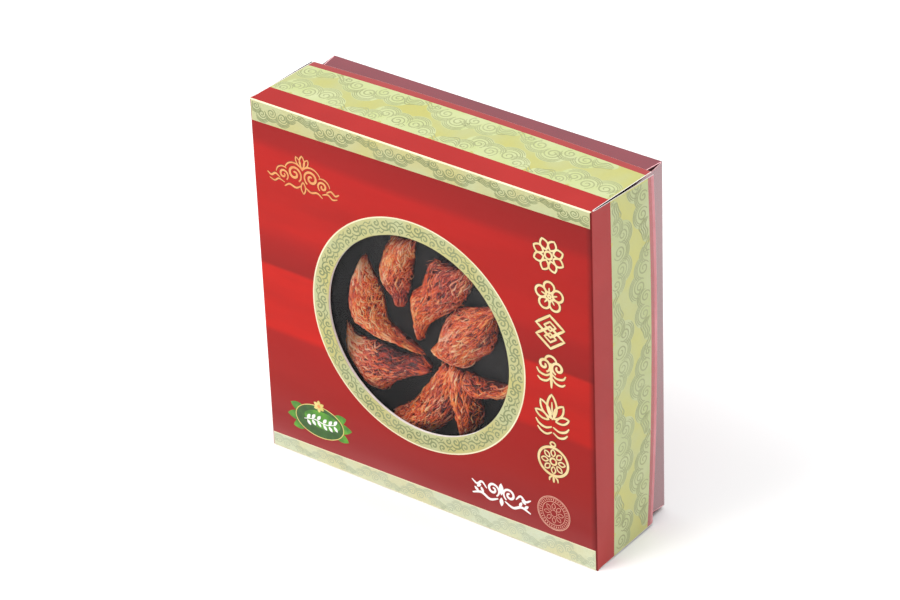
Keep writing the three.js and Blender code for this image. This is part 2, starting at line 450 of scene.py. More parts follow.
@dataclass(frozen=True)
class FoilPrint:
    """Pale yellow-green gold print with warmer and paler passages."""

    name: str
    warm: Colour = (0.47, 0.43, 0.15)
    plain: Colour = (0.46, 0.44, 0.20)
    pale: Colour = (0.45, 0.47, 0.25)
    roughness: float = 0.34
    metallic: float = 0.25

    def build(self) -> Material:
        """Builds the material.

        Returns:
            The material.
        """
        bench = NodeBench(self.name)
        patch = bench.noise(38, 2.0, 0.5)
        base = bench.ramp(patch, [(0.36, self.warm), (0.5, self.plain), (0.64, self.pale)])
        speck = bench.noise(900, 2.0, 0.6)
        fine = bench.mix(bench.map_range(speck, 0.45, 0.8, 0.0, 0.35), base, (0.46, 0.45, 0.2))
        bench.set(Base_Color=fine, Metallic=self.metallic, Specular_IOR_Level=0.5)
        bench.set(Roughness=bench.map_range(patch, 0.3, 0.7, self.roughness, self.roughness + 0.1))
        card = bench.bump(bench.noise(14, 1.0), 0.3)
        bench.set(Normal=bench.bump(bench.noise(1600, 2.0), 0.006, under=card))
        return bench.material


@dataclass(frozen=True)
class ClearFilm:
    """Thin clear plastic with a faint haze and slow waves."""

    name: str = "clear_window_film"
    alpha: float = 0.12

    def build(self) -> Material:
        """Builds the material.

        Returns:
            The material.
        """
        bench = NodeBench(self.name)
        haze = bench.noise(22, 3.0, 0.5)
        bench.set(Base_Color=bench.ramp(haze, [(0.3, (0.02, 0.021, 0.023)),
                                               (0.7, (0.06, 0.062, 0.065))]))
        bench.set(Alpha=self.alpha, Roughness=0.2, Specular_IOR_Level=0.5)
        bench.set(Normal=bench.bump(bench.noise(18, 1.0), 0.5))
        return bench.material


@dataclass(frozen=True)
class StrandFinish:
    """Dried, translucent nest strands, coloured by the tone stored on each point."""

    name: str
    roughness: float = 0.36
    coat: float = 0.25

    def build(self) -> Material:
        """Builds the material.

        Returns:
            The material.
        """
        bench = NodeBench(self.name)
        tone, hue = (bench.node("ShaderNodeAttribute", attribute_name=name).outputs["Fac"]
                     for name in ("tone", "hue"))
        fleck = bench.noise(620, 3.0, 0.65)
        varied = bench.math("ADD", tone, bench.math(
            "MULTIPLY", bench.math("SUBTRACT", fleck, 0.5), 0.42))
        warm = bench.ramp(varied, [
            (0.0, (0.070, 0.006, 0.002)), (0.22, (0.26, 0.026, 0.006)),
            (0.42, (0.76, 0.072, 0.007)), (0.60, (0.96, 0.150, 0.012)),
            (0.78, (0.98, 0.32, 0.060)), (1.0, (1.0, 0.58, 0.26))])
        cool = bench.ramp(varied, [
            (0.0, (0.048, 0.007, 0.012)), (0.22, (0.17, 0.021, 0.026)),
            (0.42, (0.54, 0.052, 0.030)), (0.60, (0.86, 0.150, 0.072)),
            (0.78, (0.95, 0.32, 0.18)), (1.0, (0.98, 0.60, 0.42))])
        region = bench.math("ADD", hue, bench.map_range(
            bench.noise(60, 2.0, 0.5), 0.3, 0.7, -0.3, 0.3))
        region = bench.map_range(region, 0.0, 1.0, 0.0, 1.0)
        bench.set(Base_Color=bench.mix(region, warm, cool), Roughness=self.roughness,
                  Specular_IOR_Level=0.4, Coat_Weight=self.coat, Coat_Roughness=0.1)
        bench.set(Normal=bench.bump(bench.noise(1500, 2.0), 0.03))
        return bench.material


class Side(Enum):
    """A wall of a folded tray, by the turn from the bottom wall about the tray's axis."""

    BOTTOM = 0
    RIGHT = 1
    TOP = 2
    LEFT = 3

    @property
    def along(self) -> np.ndarray:
        """Returns the direction in which the wall's length runs."""
        return np.array([(1, 0, 0), (0, 0, 1), (-1, 0, 0), (0, 0, -1)][self.value], float)

    @property
    def out(self) -> np.ndarray:
        """Returns the direction in which the wall faces."""
        return np.array([(0, 0, -1), (1, 0, 0), (0, 0, 1), (-1, 0, 0)][self.value], float)

    def neighbour(self, step: int) -> "Side":
        """Returns the wall at the next (1) or previous (-1) corner."""
        return Side((self.value + step) % 4)


@dataclass(frozen=True)
class Bend:
    """How a wall bends at its free edge: its middle's bulge and how far its ends lean out."""

    bow: float = 0.0
    start: float = 0.0
    end: float = 0.0


@dataclass(frozen=True)
class FoldedTray:
    """The shape of a tray folded from one board, as its solid has it."""

    size: float
    depth: float
    fold_y: float
    centre_z: float
    wall: float
    direction: int = 1
    bends: tuple[Bend, ...] = (Bend(),) * 4
    seam_fold: float = 0.0
    seam_edge: float = 0.0

    @property
    def half(self) -> float:
        """Returns half the panel's side."""
        return self.size / 2

    def wall_points(self, side: Side, along: np.ndarray, deep: np.ndarray,
                    inset: np.ndarray) -> np.ndarray:
        """Finds points on a wall.

        Args:
            side: The wall.
            along: The place along it, from -1 to 1.
            deep: The distance back from the fold.
            inset: The distance in from the wall's outer face.

        Returns:
            The points, with the arguments' common shape and a last axis of x, y, z.
        """
        along, deep, inset = np.broadcast_arrays(
            np.asarray(along, float), np.asarray(deep, float), np.asarray(inset, float))
        share = deep / self.depth
        ahead = self.bends[side.neighbour(1).value].start
        behind = self.bends[side.neighbour(-1).value].end
        seam = self.seam_fold + (self.seam_edge - self.seam_fold) * share
        seam = seam * smoothstep(self.wall * 0.8, self.wall * 0.8 + 2.0, deep)
        reach = self.half - SKIN + np.where(along > 0, ahead, behind) * share - seam - inset
        bend = self.bends[side.value]
        lean = bend.start + (bend.end - bend.start) * (along + 1) / 2
        outward = share * (lean + bend.bow * (1 - along ** 2))
        out = self.half - SKIN + outward - inset
        points = (along * reach)[..., None] * side.along + out[..., None] * side.out
        points[..., 1] += self.fold_y + self.direction * (SKIN + deep * (1 - 2 * SKIN / self.depth))
        points[..., 2] += self.centre_z
        return points


FOLD_ROWS = 6
LID_BENDS = (Bend(), Bend(2.7, 0.2, 2.6), Bend(2.2, -1.0, -1.0), Bend(4.6, -1.0, 0.2))


class LidPrint(IntEnum):
    """The parts of the lid that have a finish of their own, by material slot."""

    SATIN = 0
    GOLD = 1
    CREAM = 2
    CUT = 3
    WALL_RED = 4
    WALL_RIM = 5
    LINING = 6
    SEAM = 7
    WALL_GOLD = 8
    LOW_GOLD = 9
    PALE_RIM = 10


@dataclass
class BandRow:
    """A row across a wall: how deep it lies, its inset, and the slot of the strip after it."""

    deep: float
    inset: float
    slot: int


@dataclass
class LidShell:
    """The printed lid: a panel with a round window and four doubled, slightly bowed walls."""

    shape: FoldedTray
    hole_x: float
    hole_z: float
    hole_radius: float
    board: float = 1.5
    fold_radius: float = 0.8
    gold_radius: float = 69.6
    line_radius: float = 70.4
    band_start: float = 15.8
    band_end: float = 47.2
    line_width: float = 0.5
    along_steps: int = 48
    seam_step: float = 0.9
    worn_end: float = 0.4
    top_band: Point2 = (206.95, 0.0134)
    bottom_band: Point2 = (8.6, 0.018)

    def top_edge(self, x: float) -> float:
        """Returns the height of the face's top gold band's lower edge at x, which slopes."""
        return self.top_band[0] + self.top_band[1] * (x + FACE_HALF)

    def bottom_edge(self, x: float) -> float:
        """Returns the height of the face's bottom gold band's upper edge at x, which slopes."""
        return self.bottom_band[0] + self.bottom_band[1] * (x + FACE_HALF)

    def _stations(self, side: Side) -> np.ndarray:
        """Finds the places along a wall at which its rows have points.

        Args:
            side: The wall.

        Returns:
            The places, from -1 to 1.
        """
        reach = self.shape.half - SKIN - self.fold_radius
        worn = 1 - self.worn_end / reach
        marks = [*np.linspace(-1, 1, self.along_steps + 1), -worn, worn]
        if side in (Side.LEFT, Side.RIGHT):
            x = reach if side is Side.RIGHT else -reach
            sign = 1 if side is Side.RIGHT else -1
            for height in (self.top_edge(x), self.bottom_edge(x),
                           self.bottom_edge(x) + self.line_width):
                marks.append(sign * (height - self.shape.centre_z) / reach)
        kept = sorted(marks)
        return np.array([kept[0]] + [b for a, b in zip(kept, kept[1:]) if b - a > 1e-5])

    def _rows(self, side: Side) -> list[BandRow]:
        """Lists the rows of a wall, from the panel round the free edge to the inside.

        Args:
            side: The wall.

        Returns:
            The rows.
        """
        radius = self.fold_radius
        wall, depth = self.shape.wall, self.shape.depth
        fold_slot = LidPrint.CREAM if side in (Side.TOP, Side.BOTTOM) else LidPrint.SATIN
        rows = []
        for turn in np.linspace(0, math.pi / 2, FOLD_ROWS):
            slot = fold_slot if turn < 1.2 else LidPrint.WALL_RED
            rows.append(BandRow(radius * (1 - math.cos(turn)), radius * (1 - math.sin(turn)), slot))
        for deep in (self.board, 4, 8, 12):
            rows.append(BandRow(deep, 0, LidPrint.WALL_RED))
        # The walls' gold band takes the brighter copy of the gold, which is painted light.
        for deep in (self.band_start, 24, 32, 40):
            rows.append(BandRow(deep, 0, LidPrint.WALL_GOLD))
        rows.append(BandRow(self.band_end, 0, LidPrint.WALL_RIM))
        # On the right wall the rear margin takes a pale pink copy of the red: a painted sheen.
        rim = LidPrint.PALE_RIM if side is Side.RIGHT else LidPrint.WALL_RIM
        rows.append(BandRow(depth - 2.8, 0, rim))
        edge = wall / 2
        for turn in np.linspace(0, math.pi, 9):
            rows.append(BandRow(depth - edge + edge * math.sin(turn),
                                edge - edge * math.cos(turn), rim))
        for deep in (40, 26, 12, self.board):
            rows[-1].slot = LidPrint.LINING
            rows.append(BandRow(deep, wall, LidPrint.LINING))
        return rows

    def _add_wall(self, draft: MeshDraft, side: Side) -> None:
        """Adds one wall and the two ends that show in its corner seams.

        Args:
            draft: The mesh to add to.
            side: The wall.
        """
        rows = self._rows(side)
        stations = self._stations(side)
        deep = np.array([row.deep for row in rows])[:, None]
        inset = np.array([row.inset for row in rows])[:, None]
        grid = self.shape.wall_points(side, stations[None, :], deep, inset)
        if side is Side.LEFT:
            near = smoothstep(-0.985, -1.0, stations)[None, :]
            grid[..., 2] += self.seam_step * near * smoothstep(4.0, self.shape.depth, deep)
        first = next(i for i, row in enumerate(rows) if row.deep >= self.board - 1e-6
                     and row.inset == 0)
        slots = [row.slot for row in rows]
        draft.add_grid(grid[:first + 1], slots[:first])
        draft.add_grid(grid[first:], slots[first:], LidPrint.CUT)
        for end in (0, -1):
            # The cut edge at the left wall's top end is dark as well: painted shade in that corner
            # seam.
            dark = side is Side.LEFT and end == 0
            add_wall_end(draft, grid[first:, end], LidPrint.SEAM if dark else LidPrint.CUT,
                         LidPrint.SEAM)

    def _border(self, deep: float, inset: float) -> np.ndarray:
        """Returns the panel's border as it meets the walls' rows, going round once."""
        runs = []
        for side in Side:
            stations = self._stations(side)
            runs.append(self.shape.wall_points(side, stations, deep, inset)[:-1])
        return np.concatenate(runs)

    def _circle(self, radius: float, count: int = 128) -> np.ndarray:
        """Returns a circle round the window's centre as x, z rows."""
        turn = np.linspace(0, 2 * math.pi, count, endpoint=False)
        return np.stack([self.hole_x + radius * np.cos(turn),
                         self.hole_z + radius * np.sin(turn)], axis=1)

    def _fill(self, draft: MeshDraft, y: float, loops: list[np.ndarray],
              lines: list[tuple[Point2, Point2]], slot_at: Callable[[float, float], int | None]
              ) -> None:
        """Fills a flat region between loops with triangles.

        Args:
            draft: The mesh to add to.
            y: The plane's place.
            loops: Closed loops of x, z rows.
            lines: Extra edges that the triangles keep to.
            slot_at: Gives the material slot at x, z, or None for a gap.
        """
        points: list[Point2] = []
        edges: list[tuple[int, int]] = []
        for loop in loops:
            start = len(points)
            points.extend(map(tuple, loop))
            edges.extend((start + i, start + (i + 1) % len(loop)) for i in range(len(loop)))
        for first, second in lines:
            start = len(points)
            points.extend([first, second])
            edges.append((start, start + 1))
        result = delaunay_2d_cdt([Vector(p) for p in points], edges, [], 0, 1e-5)
        flat = np.array([tuple(v) for v in result[0]])
        by_slot: dict[int, list[list[int]]] = {}
        for face in result[2]:
            middle = flat[face].mean(axis=0)
            slot = slot_at(middle[0], middle[1])
            if slot is not None:
                by_slot.setdefault(slot, []).append(face)
        solid = np.stack([flat[:, 0], np.full(len(flat), y), flat[:, 1]], axis=1)
        for slot, faces in by_slot.items():
            draft.add(solid, faces, slot)

    def _face_slot(self, x: float, z: float) -> int | None:
        """Finds the print at a point of the face.

        Args:
            x: The point's place across.
            z: Its height.

        Returns:
            The print's slot, or None in the window.
        """
        away = math.hypot(x - self.hole_x, z - self.hole_z)
        if away < self.hole_radius + 0.15:
            return None
        if away < self.gold_radius:
            return LidPrint.GOLD
        if away < self.line_radius:
            return LidPrint.CREAM
        if z > self.top_edge(x):
            return LidPrint.GOLD
        # The lower band takes the paler copy of the gold, which is a painted reflection of the
        # floor.
        if z < self.bottom_edge(x):
            return LidPrint.LOW_GOLD
        return LidPrint.CREAM if z < self.bottom_edge(x) + self.line_width else LidPrint.SATIN

    def build(self, finishes: dict[str, Material]) -> Piece:
        """Builds the lid.

        Args:
            finishes: The materials by name.

        Returns:
            The lid's object.
        """
        draft = MeshDraft()
        for side in Side:
            self._add_wall(draft, side)
        front = self._border(0.0, self.fold_radius)
        reach = self.shape.half - SKIN - self.fold_radius
        centre = np.array([0.0, self.shape.centre_z])
        guard = centre + (front[:, [0, 2]] - centre) * (1 - 0.6 / reach)
        loops = [front[:, [0, 2]], guard, self._circle(self.hole_radius + 0.2),
                 self._circle(self.hole_radius + 0.9), self._circle(self.gold_radius),
                 self._circle(self.line_radius)]
        lines = []
        for edge, shift in ((self.top_edge, 0.0), (self.bottom_edge, 0.0),
                            (self.bottom_edge, self.line_width)):
            lines.append(((-reach, edge(-reach) + shift), (reach, edge(reach) + shift)))
        self._fill(draft, front[0, 1], loops, lines, self._face_slot)
        back = self._border(self.board, self.shape.wall)
        self._fill(draft, back[0, 1], [back[:, [0, 2]], self._circle(self.hole_radius)], [],
                   lambda x, z: LidPrint.LINING
                   if math.hypot(x - self.hole_x, z - self.hole_z) > self.hole_radius else None)
        self._add_rim(draft, front[0, 1], back[0, 1])
        return draft.build("lid_printed_card", [finishes[part.name.lower()] for part in LidPrint])

    def _add_rim(self, draft: MeshDraft, front_y: float, back_y: float) -> None:
        """Adds the window's cut edge between the face and the lining.

        Args:
            draft: The mesh to add to.
            front_y: The face's place.
            back_y: The lining's place.
        """
        rings = []
        for extra, y in ((0.2, front_y), (0.05, front_y + 0.12), (0.0, front_y + 0.35),
                         (0.0, back_y)):
            radius = self.hole_radius + extra
            loop = self._circle(radius)
            ring = np.stack([loop[:, 0], np.full(len(loop), y), loop[:, 1]], axis=1)
            rings.append(np.vstack([ring, ring[:1]]))
        draft.add_grid(np.array(rings), [LidPrint.GOLD, LidPrint.CUT, LidPrint.CUT])


@dataclass
class TrayShell:
    """A plain folded tray whose panel faces away from the lid, with rounded folds."""

    shape: FoldedTray
    board: float = 1.5
    fold_radius: float = 0.9
    worn_end: float = 0.5
    along_steps: int = 24

    def build(self, name: str, finishes: dict[str, Material]) -> Piece:
        """Builds the tray.

        Args:
            name: The object's name.
            finishes: The materials by name.

        Returns:
            The tray's object.
        """
        draft = MeshDraft()
        wall, depth, radius = self.shape.wall, self.shape.depth, self.fold_radius
        worn = 1 - self.worn_end / self.shape.half
        stations = np.array(sorted([*np.linspace(-1, 1, self.along_steps + 1), -worn, worn]))
        rows = [(radius * (1 - math.cos(t)), radius * (1 - math.sin(t)))
                for t in np.linspace(0, math.pi / 2, FOLD_ROWS)]
        rows += [(self.board, 0.0), (12, 0.0), (30, 0.0), (50, 0.0)]
        edge = wall / 2
        rows += [(depth - edge + edge * math.sin(t), edge - edge * math.cos(t))
                 for t in np.linspace(0, math.pi, 7)]
        rows += [(30, wall), (self.board, wall)]
        deep = np.array([row[0] for row in rows])[:, None]
        inset = np.array([row[1] for row in rows])[:, None]
        first = FOLD_ROWS
        for side in Side:
            grid = self.shape.wall_points(side, stations[None, :], deep, inset)
            draft.add_grid(grid[:first + 1], [0] * first)
            draft.add_grid(grid[first:], [0] * (len(rows) - first), 1)
            for end in (0, -1):
                add_wall_end(draft, grid[first:, end], 1, 2)
        for at, inner in ((0.0, radius), (self.board, wall)):
            border = np.concatenate([
                self.shape.wall_points(side, stations, at, inner)[:-1] for side in Side])
            middle = border.mean(axis=0)
            count = len(border)
            guard = middle + (border - middle) * 0.99
            draft.add(np.vstack([border, guard]), ring_faces(count))
            draft.add(np.vstack([guard, middle]), fan_faces(count, count))
        return draft.build(name, [finishes[key] for key in ("tray", "worn", "seam")])


def arc_length_curve(points: Sequence[Point2], samples: int = 400) -> tuple[np.ndarray, np.ndarray]:
    """Samples a centripetal Catmull-Rom curve through points, as the solids' edges have it.

    Args:
        points: The points that the curve passes through.
        samples: How many samples to take.

    Returns:
        The arc lengths as shares from 0 to 1, and the sampled points.
    """
    given = np.asarray(points, float)
    run = np.vstack([2 * given[0] - given[1], given, 2 * given[-1] - given[-2]])
    spans = len(given) - 1
    out = []
    for step in range(samples + 1):
        where = step / samples * spans
        index = min(int(where), spans - 1)
        weight = where - index
        p0, p1, p2, p3 = run[index:index + 4]
        d0, d1, d2 = (max(float(np.sum((b - a) ** 2)) ** 0.25, 1e-4)
                      for a, b in ((p0, p1), (p1, p2), (p2, p3)))
        t1 = ((p1 - p0) / d0 - (p2 - p0) / (d0 + d1) + (p2 - p1) / d1) * d1
        t2 = ((p2 - p1) / d1 - (p3 - p1) / (d1 + d2) + (p3 - p2) / d2) * d1
        c2 = -3 * p1 + 3 * p2 - 2 * t1 - t2
        c3 = 2 * p1 - 2 * p2 + t1 + t2
        out.append(p1 + t1 * weight + c2 * weight ** 2 + c3 * weight ** 3)
    line = np.array(out)
    steps = np.linalg.norm(np.diff(line, axis=0), axis=1)
    length = np.concatenate([[0], np.cumsum(steps)])
    return length / length[-1], line


CURL_EYE = 0.16
PETAL_BLUNT = 0.8


@dataclass
class Stroke:
    """A printed line in the plane of its print."""

    points: np.ndarray
    width: float
    taper: float = 1.0
    closed: bool = False

    def moved(self, x: float, y: float) -> "Stroke":
        """Returns the stroke moved."""
        return replace(self, points=self.points + (x, y))

    def mirrored(self) -> "Stroke":
        """Returns the stroke's mirror image about x = 0."""
        return replace(self, points=self.points * (-1, 1))


def arc(x: float, y: float, radius: float, start: float, end: float, count: int = 14) -> np.ndarray:
    """Returns points of a circle's arc, with its angles in degrees."""
    turn = np.radians(np.linspace(start, end, count))
    return np.stack([x + radius * np.cos(turn), y + radius * np.sin(turn)], axis=1)


def oval(x: float, y: float, across: float, tall: float, count: int = 72) -> np.ndarray:
    """Returns a closed oval's points."""
    turn = np.linspace(0, 2 * math.pi, count, endpoint=False)
    return np.stack([x + across * np.cos(turn), y + tall * np.sin(turn)], axis=1)


def spiral(x: float, y: float, radius: float, turns: float, start: float, count: int) -> np.ndarray:
    """Returns points of a curl that winds inwards from its start angle in degrees."""
    share = np.linspace(0, 1, count)
    turn = math.radians(start) + share * turns * 2 * math.pi
    reach = radius * (1 - (1 - CURL_EYE) * share)
    return np.stack([x + reach * np.cos(turn), y + reach * np.sin(turn)], axis=1)


def petal(x: float, y: float, angle: float, near: float, far: float, half: float,
          count: int = 12) -> np.ndarray:
    """Draws a closed petal that points away from x, y.

    Args:
        x: The place across that it points away from.
        y: The place up.
        angle: Its direction in degrees.
        near: Where it starts, from x, y.
        far: Where it ends.
        half: Half its width.
        count: How many steps each side has.

    Returns:
        Its points.
    """
    share = np.linspace(0, 1, count + 1)
    reach = near + (far - near) * share
    side = half * np.sin(math.pi * share) ** PETAL_BLUNT
    outline = np.concatenate([np.stack([reach, side], 1),
                              np.stack([reach[-2:0:-1], -side[-2:0:-1]], 1)])
    turn = math.radians(angle)
    spin = np.array([[math.cos(turn), math.sin(turn)], [-math.sin(turn), math.cos(turn)]])
    return outline @ spin + (x, y)


def loop(points: np.ndarray, width: float) -> Stroke:
    """Returns a closed stroke of an even width."""
    return Stroke(points, width, closed=True)


def both(strokes: list[Stroke]) -> list[Stroke]:
    """Returns the strokes and their mirror images about x = 0."""
    return strokes + [stroke.mirrored() for stroke in strokes]


def curve(*knots: Point2, count: int = 16) -> np.ndarray:
    """Returns a smooth line through a few points."""
    return arc_length_curve(knots, count)[1]


CLOUD_CURLS = (
    ((-18.0, 3.8, 3.4, 1.3, 250), (-10.2, 8.0, 5.0, 1.8, 215), (0.6, 6.6, 4.6, 1.7, 250),
     (10.2, 9.6, 4.2, 1.6, 230), (15.8, 3.4, 3.0, 1.3, 240)),
    ((15.4, 5.4, 4.4, 1.6, 240), (5.0, 4.4, 3.6, 1.4, 250), (-2.6, 9.2, 5.2, 1.9, 220),
     (-13.0, 5.6, 4.4, 1.6, 245), (-20.6, 2.8, 2.4, 1.2, 240)),
)


def cloud_bank(kind: int = 0) -> list[Stroke]:
    """Draws a bank of curled clouds that rises from the edge of a band.

    Args:
        kind: Which of the two banks to draw, 0 or 1.

    Returns:
        Its strokes, in millimetres, with the edge along y = 0.
    """
    strokes = []
    for x, y, radius, turns, start in CLOUD_CURLS[kind]:
        strokes.append(Stroke(spiral(x, y, radius, -turns, start, count=int(22 * turns)),
                              0.85, 0.5))
        for gap, low, high in ((1.3, 10, 178), (2.4, 26, 164), (3.5, 44, 148)):
            strokes.append(Stroke(arc(x, y, radius + gap, low, high, 12), 0.65, 0.4))
    for rise in (0.0, 1.7, 3.4, 5.1):
        strokes.append(Stroke(curve((18.5, 1.0 + rise * 0.6), (22.5, 3.6 + rise),
                                    (27, 1.6 + rise), (31.5, 3.4 + rise * 0.4), count=14),
                              0.7, 0.3))
    for rise in (0.0, 2.2):
        strokes.append(Stroke(curve((-21.5, 2.0 + rise), (-24.5, 3.4 + rise), (-27.5, 0.8 + rise),
                                    (-31, 1.2), count=14), 0.65, 0.3))
    return strokes


def cloud_body(kind: int, low: float) -> "PrintSheet":
    """Fills a bank of clouds with overlapping rounds.

    Args:
        kind: Which of the two banks to fill, 0 or 1.
        low: The lowest round's height above the card.

    Returns:
        The flat motif, with the edge along y = 0.
    """
    sheet = PrintSheet()
    rounds = [oval(x, y, radius + 4.2, radius + 4.2, 28)
              for x, y, radius, _, _ in CLOUD_CURLS[kind]]
    for index, outline in enumerate([*rounds, oval(25.0, 2.6, 8.4, 4.6, 28)]):
        sheet.fill(outline, low + LAYER * index, centred=True)
    return sheet


def small_cloud() -> list[Stroke]:
    """Draws a small two-curled cloud for the ring.

    Returns:
        Its strokes, in millimetres, with the edge along y = 0.
    """
    return [
        Stroke(spiral(-2.6, 2.7, 2.4, -1.2, 230, count=22), 0.95, 0.6),
        Stroke(spiral(2.6, 2.2, 1.9, -1.1, 240, count=18), 0.95, 0.6),
        Stroke(arc(-2.6, 2.7, 3.8, 20, 185, 12), 0.85, 0.5),
        Stroke(arc(2.6, 2.2, 3.3, 5, 120, 9), 0.85, 0.5),
        Stroke(curve((5.6, 0.8), (7.4, 2.2), (9.2, 1.0), (11.2, 2.0), count=9), 0.7, 0.4),
    ]


@dataclass
class PrintSheet:
    """Slightly raised print in a flat plane, laid later on a face of the card."""

    draft: MeshDraft = field(default_factory=MeshDraft)
    SUNK = -0.02

    def line(self, stroke: Stroke, height: float = 0.05, slot: int = 0) -> None:
        """Adds a stroke as a thin closed ribbon.

        Args:
            stroke: The line.
            height: Its height above the card.
            slot: Its material slot.
        """
        points = stroke.points
        count = len(points)
        if stroke.closed:
            tangent = np.roll(points, -1, 0) - np.roll(points, 1, 0)
            width = np.full(count, stroke.width)
        else:
            tangent = np.gradient(points, axis=0)
            share = np.sin(math.pi * np.linspace(0.02, 0.98, count)) ** 0.6
            width = stroke.width * (stroke.taper + (1 - stroke.taper) * share)
        tangent = tangent / np.maximum(np.linalg.norm(tangent, axis=1, keepdims=True), 1e-9)
        side = np.stack([-tangent[:, 1], tangent[:, 0]], 1) * width[:, None] / 2
        rows = []
        for sign, level in ((1, self.SUNK), (1, height), (-1, height), (-1, self.SUNK)):
            rows.append(np.column_stack([points + sign * side, np.full(count, level)]))
        grid = np.stack(rows, axis=1).reshape(-1, 3)
        faces = []
        last = count if stroke.closed else count - 1
        for i in range(last):
            here, there = 4 * i, 4 * ((i + 1) % count)
            faces += [(here + k, here + (k + 1) % 4, there + (k + 1) % 4, there + k)
                      for k in range(4)]
        if not stroke.closed:
            faces += [(0, 1, 2, 3), (4 * count - 1, 4 * count - 2, 4 * count - 3, 4 * count - 4)]
        self.draft.add(grid, faces, slot)

    def fill(self, outline: np.ndarray, height: float = 0.03, slot: int = 0,
             centred: bool = False) -> None:
        """Adds a filled outline as a thin closed plate.

        Args:
            outline: The closed outline.
            height: The plate's height above the card.
            slot: Its material slot.
            centred: Whether its top is a fan round a middle point.
        """
        count = len(outline)
        top = np.column_stack([outline, np.full(count, height)])
        low = np.column_stack([outline, np.full(count, self.SUNK)])
        faces = [tuple(range(2 * count - 1, count - 1, -1)), *ring_faces(count)]
        faces += fan_faces(count, 2 * count) if centred else [tuple(range(count))]
        self.draft.add(np.vstack([top, low, top.mean(axis=0)][:3 if centred else 2]), faces, slot)

    @classmethod
    def lined(cls, strokes: list[Stroke], low: float = 0.026) -> "PrintSheet":
        """Returns a sheet with strokes on it, each a layer above the last."""
        sheet = cls()
        for index, stroke in enumerate(strokes):
            sheet.line(stroke, low + LAYER * index)
        return sheet

    def mesh(self, name: str) -> Piece:
        """Returns the sheet as a flat object."""
        return self.draft.build(name, [], 180.0, merge=1e-5)

    def laid(self, place: Laying) -> MeshDraft:
        """Returns the sheet laid on a surface.

        Args:
            place: Turns rows of u, v, height into rows of x, y, z.

        Returns:
            The draft in the box's frame.
        """
        made = MeshDraft()
        made.points = [place(np.concatenate(self.draft.points))]
        made.count = self.draft.count
        made.faces, made.slots = self.draft.faces, self.draft.slots
        return made


class MeshTree:
    """A Geometry Nodes tree with named inputs that ends in plain geometry in one finish."""

    def __init__(self, name: str, inputs: dict[str, str], finish: str) -> None:
        """Opens the tree.

        Args:
            name: The tree's name.
            inputs: The kind of each input, by its name.
            finish: The name of the input that takes the material.
        """
        self.tree = bpy.data.node_groups.new(name, "GeometryNodeTree")
        self.finish = finish
        face = self.tree.interface
        face.new_socket("Geometry", in_out="INPUT", socket_type="NodeSocketGeometry")
        self.sockets = {
            label: face.new_socket(label, in_out="INPUT", socket_type="NodeSocket" + kind
                                   ).identifier
            for label, kind in {**inputs, finish: "Material"}.items()}
        face.new_socket("Geometry", in_out="OUTPUT", socket_type="NodeSocketGeometry")
        self.given = self.node("NodeGroupInput").outputs

    def node(self, kind: str, **inputs: object) -> bpy.types.Node:
        """Adds a node and feeds its inputs, with underscores for the spaces in their names."""
        made = self.tree.nodes.new(kind)
        for label, value in inputs.items():
            self._feed(value, made.inputs[label.replace("_", " ")])
        return made

    def _feed(self, value: object, socket: bpy.types.NodeSocket) -> None:
        """Links an output to an input, or sets the input where the source is a value."""
        if isinstance(value, bpy.types.NodeSocket):
            self.tree.links.new(value, socket)
        else:
            socket.default_value = value

    def number(self, operation: str, first: object, second: object) -> object:
        """Adds a Math node and returns its output."""
        made = self.node("ShaderNodeMath")
        made.operation = operation
        self._feed(first, made.inputs[0])
        self._feed(second, made.inputs[1])
        return made.outputs[0]

    def vector(self, x: object = 0.0, y: object = 0.0, z: object = 0.0) -> object:
        """Adds a Combine XYZ node and returns its output."""
        return self.node("ShaderNodeCombineXYZ", X=x, Y=y, Z=z).outputs[0]

    def close(self, geometry: object) -> None:
        """Ends the tree: instances are made real and take the finish."""
        real = self.node("GeometryNodeRealizeInstances", Geometry=geometry).outputs[0]
        dressed = self.node("GeometryNodeSetMaterial", Geometry=real,
                            Material=self.given[self.finish]).outputs[0]
        self.node("NodeGroupOutput", Geometry=dressed)

    def run(self, piece: Piece, name: str, values: dict[str, object]) -> Piece:
        """Runs the tree on a piece.

        Args:
            piece: The object to run it on, which is used up.
            name: The new object's name.
            values: The value of each input.

        Returns:
            The result as a plain mesh.
        """
        modifier = piece.modifiers.new(name, "NODES")
        modifier.node_group = self.tree
        for label, value in values.items():
            modifier[self.sockets[label]] = value
        return plain_mesh(piece, name)


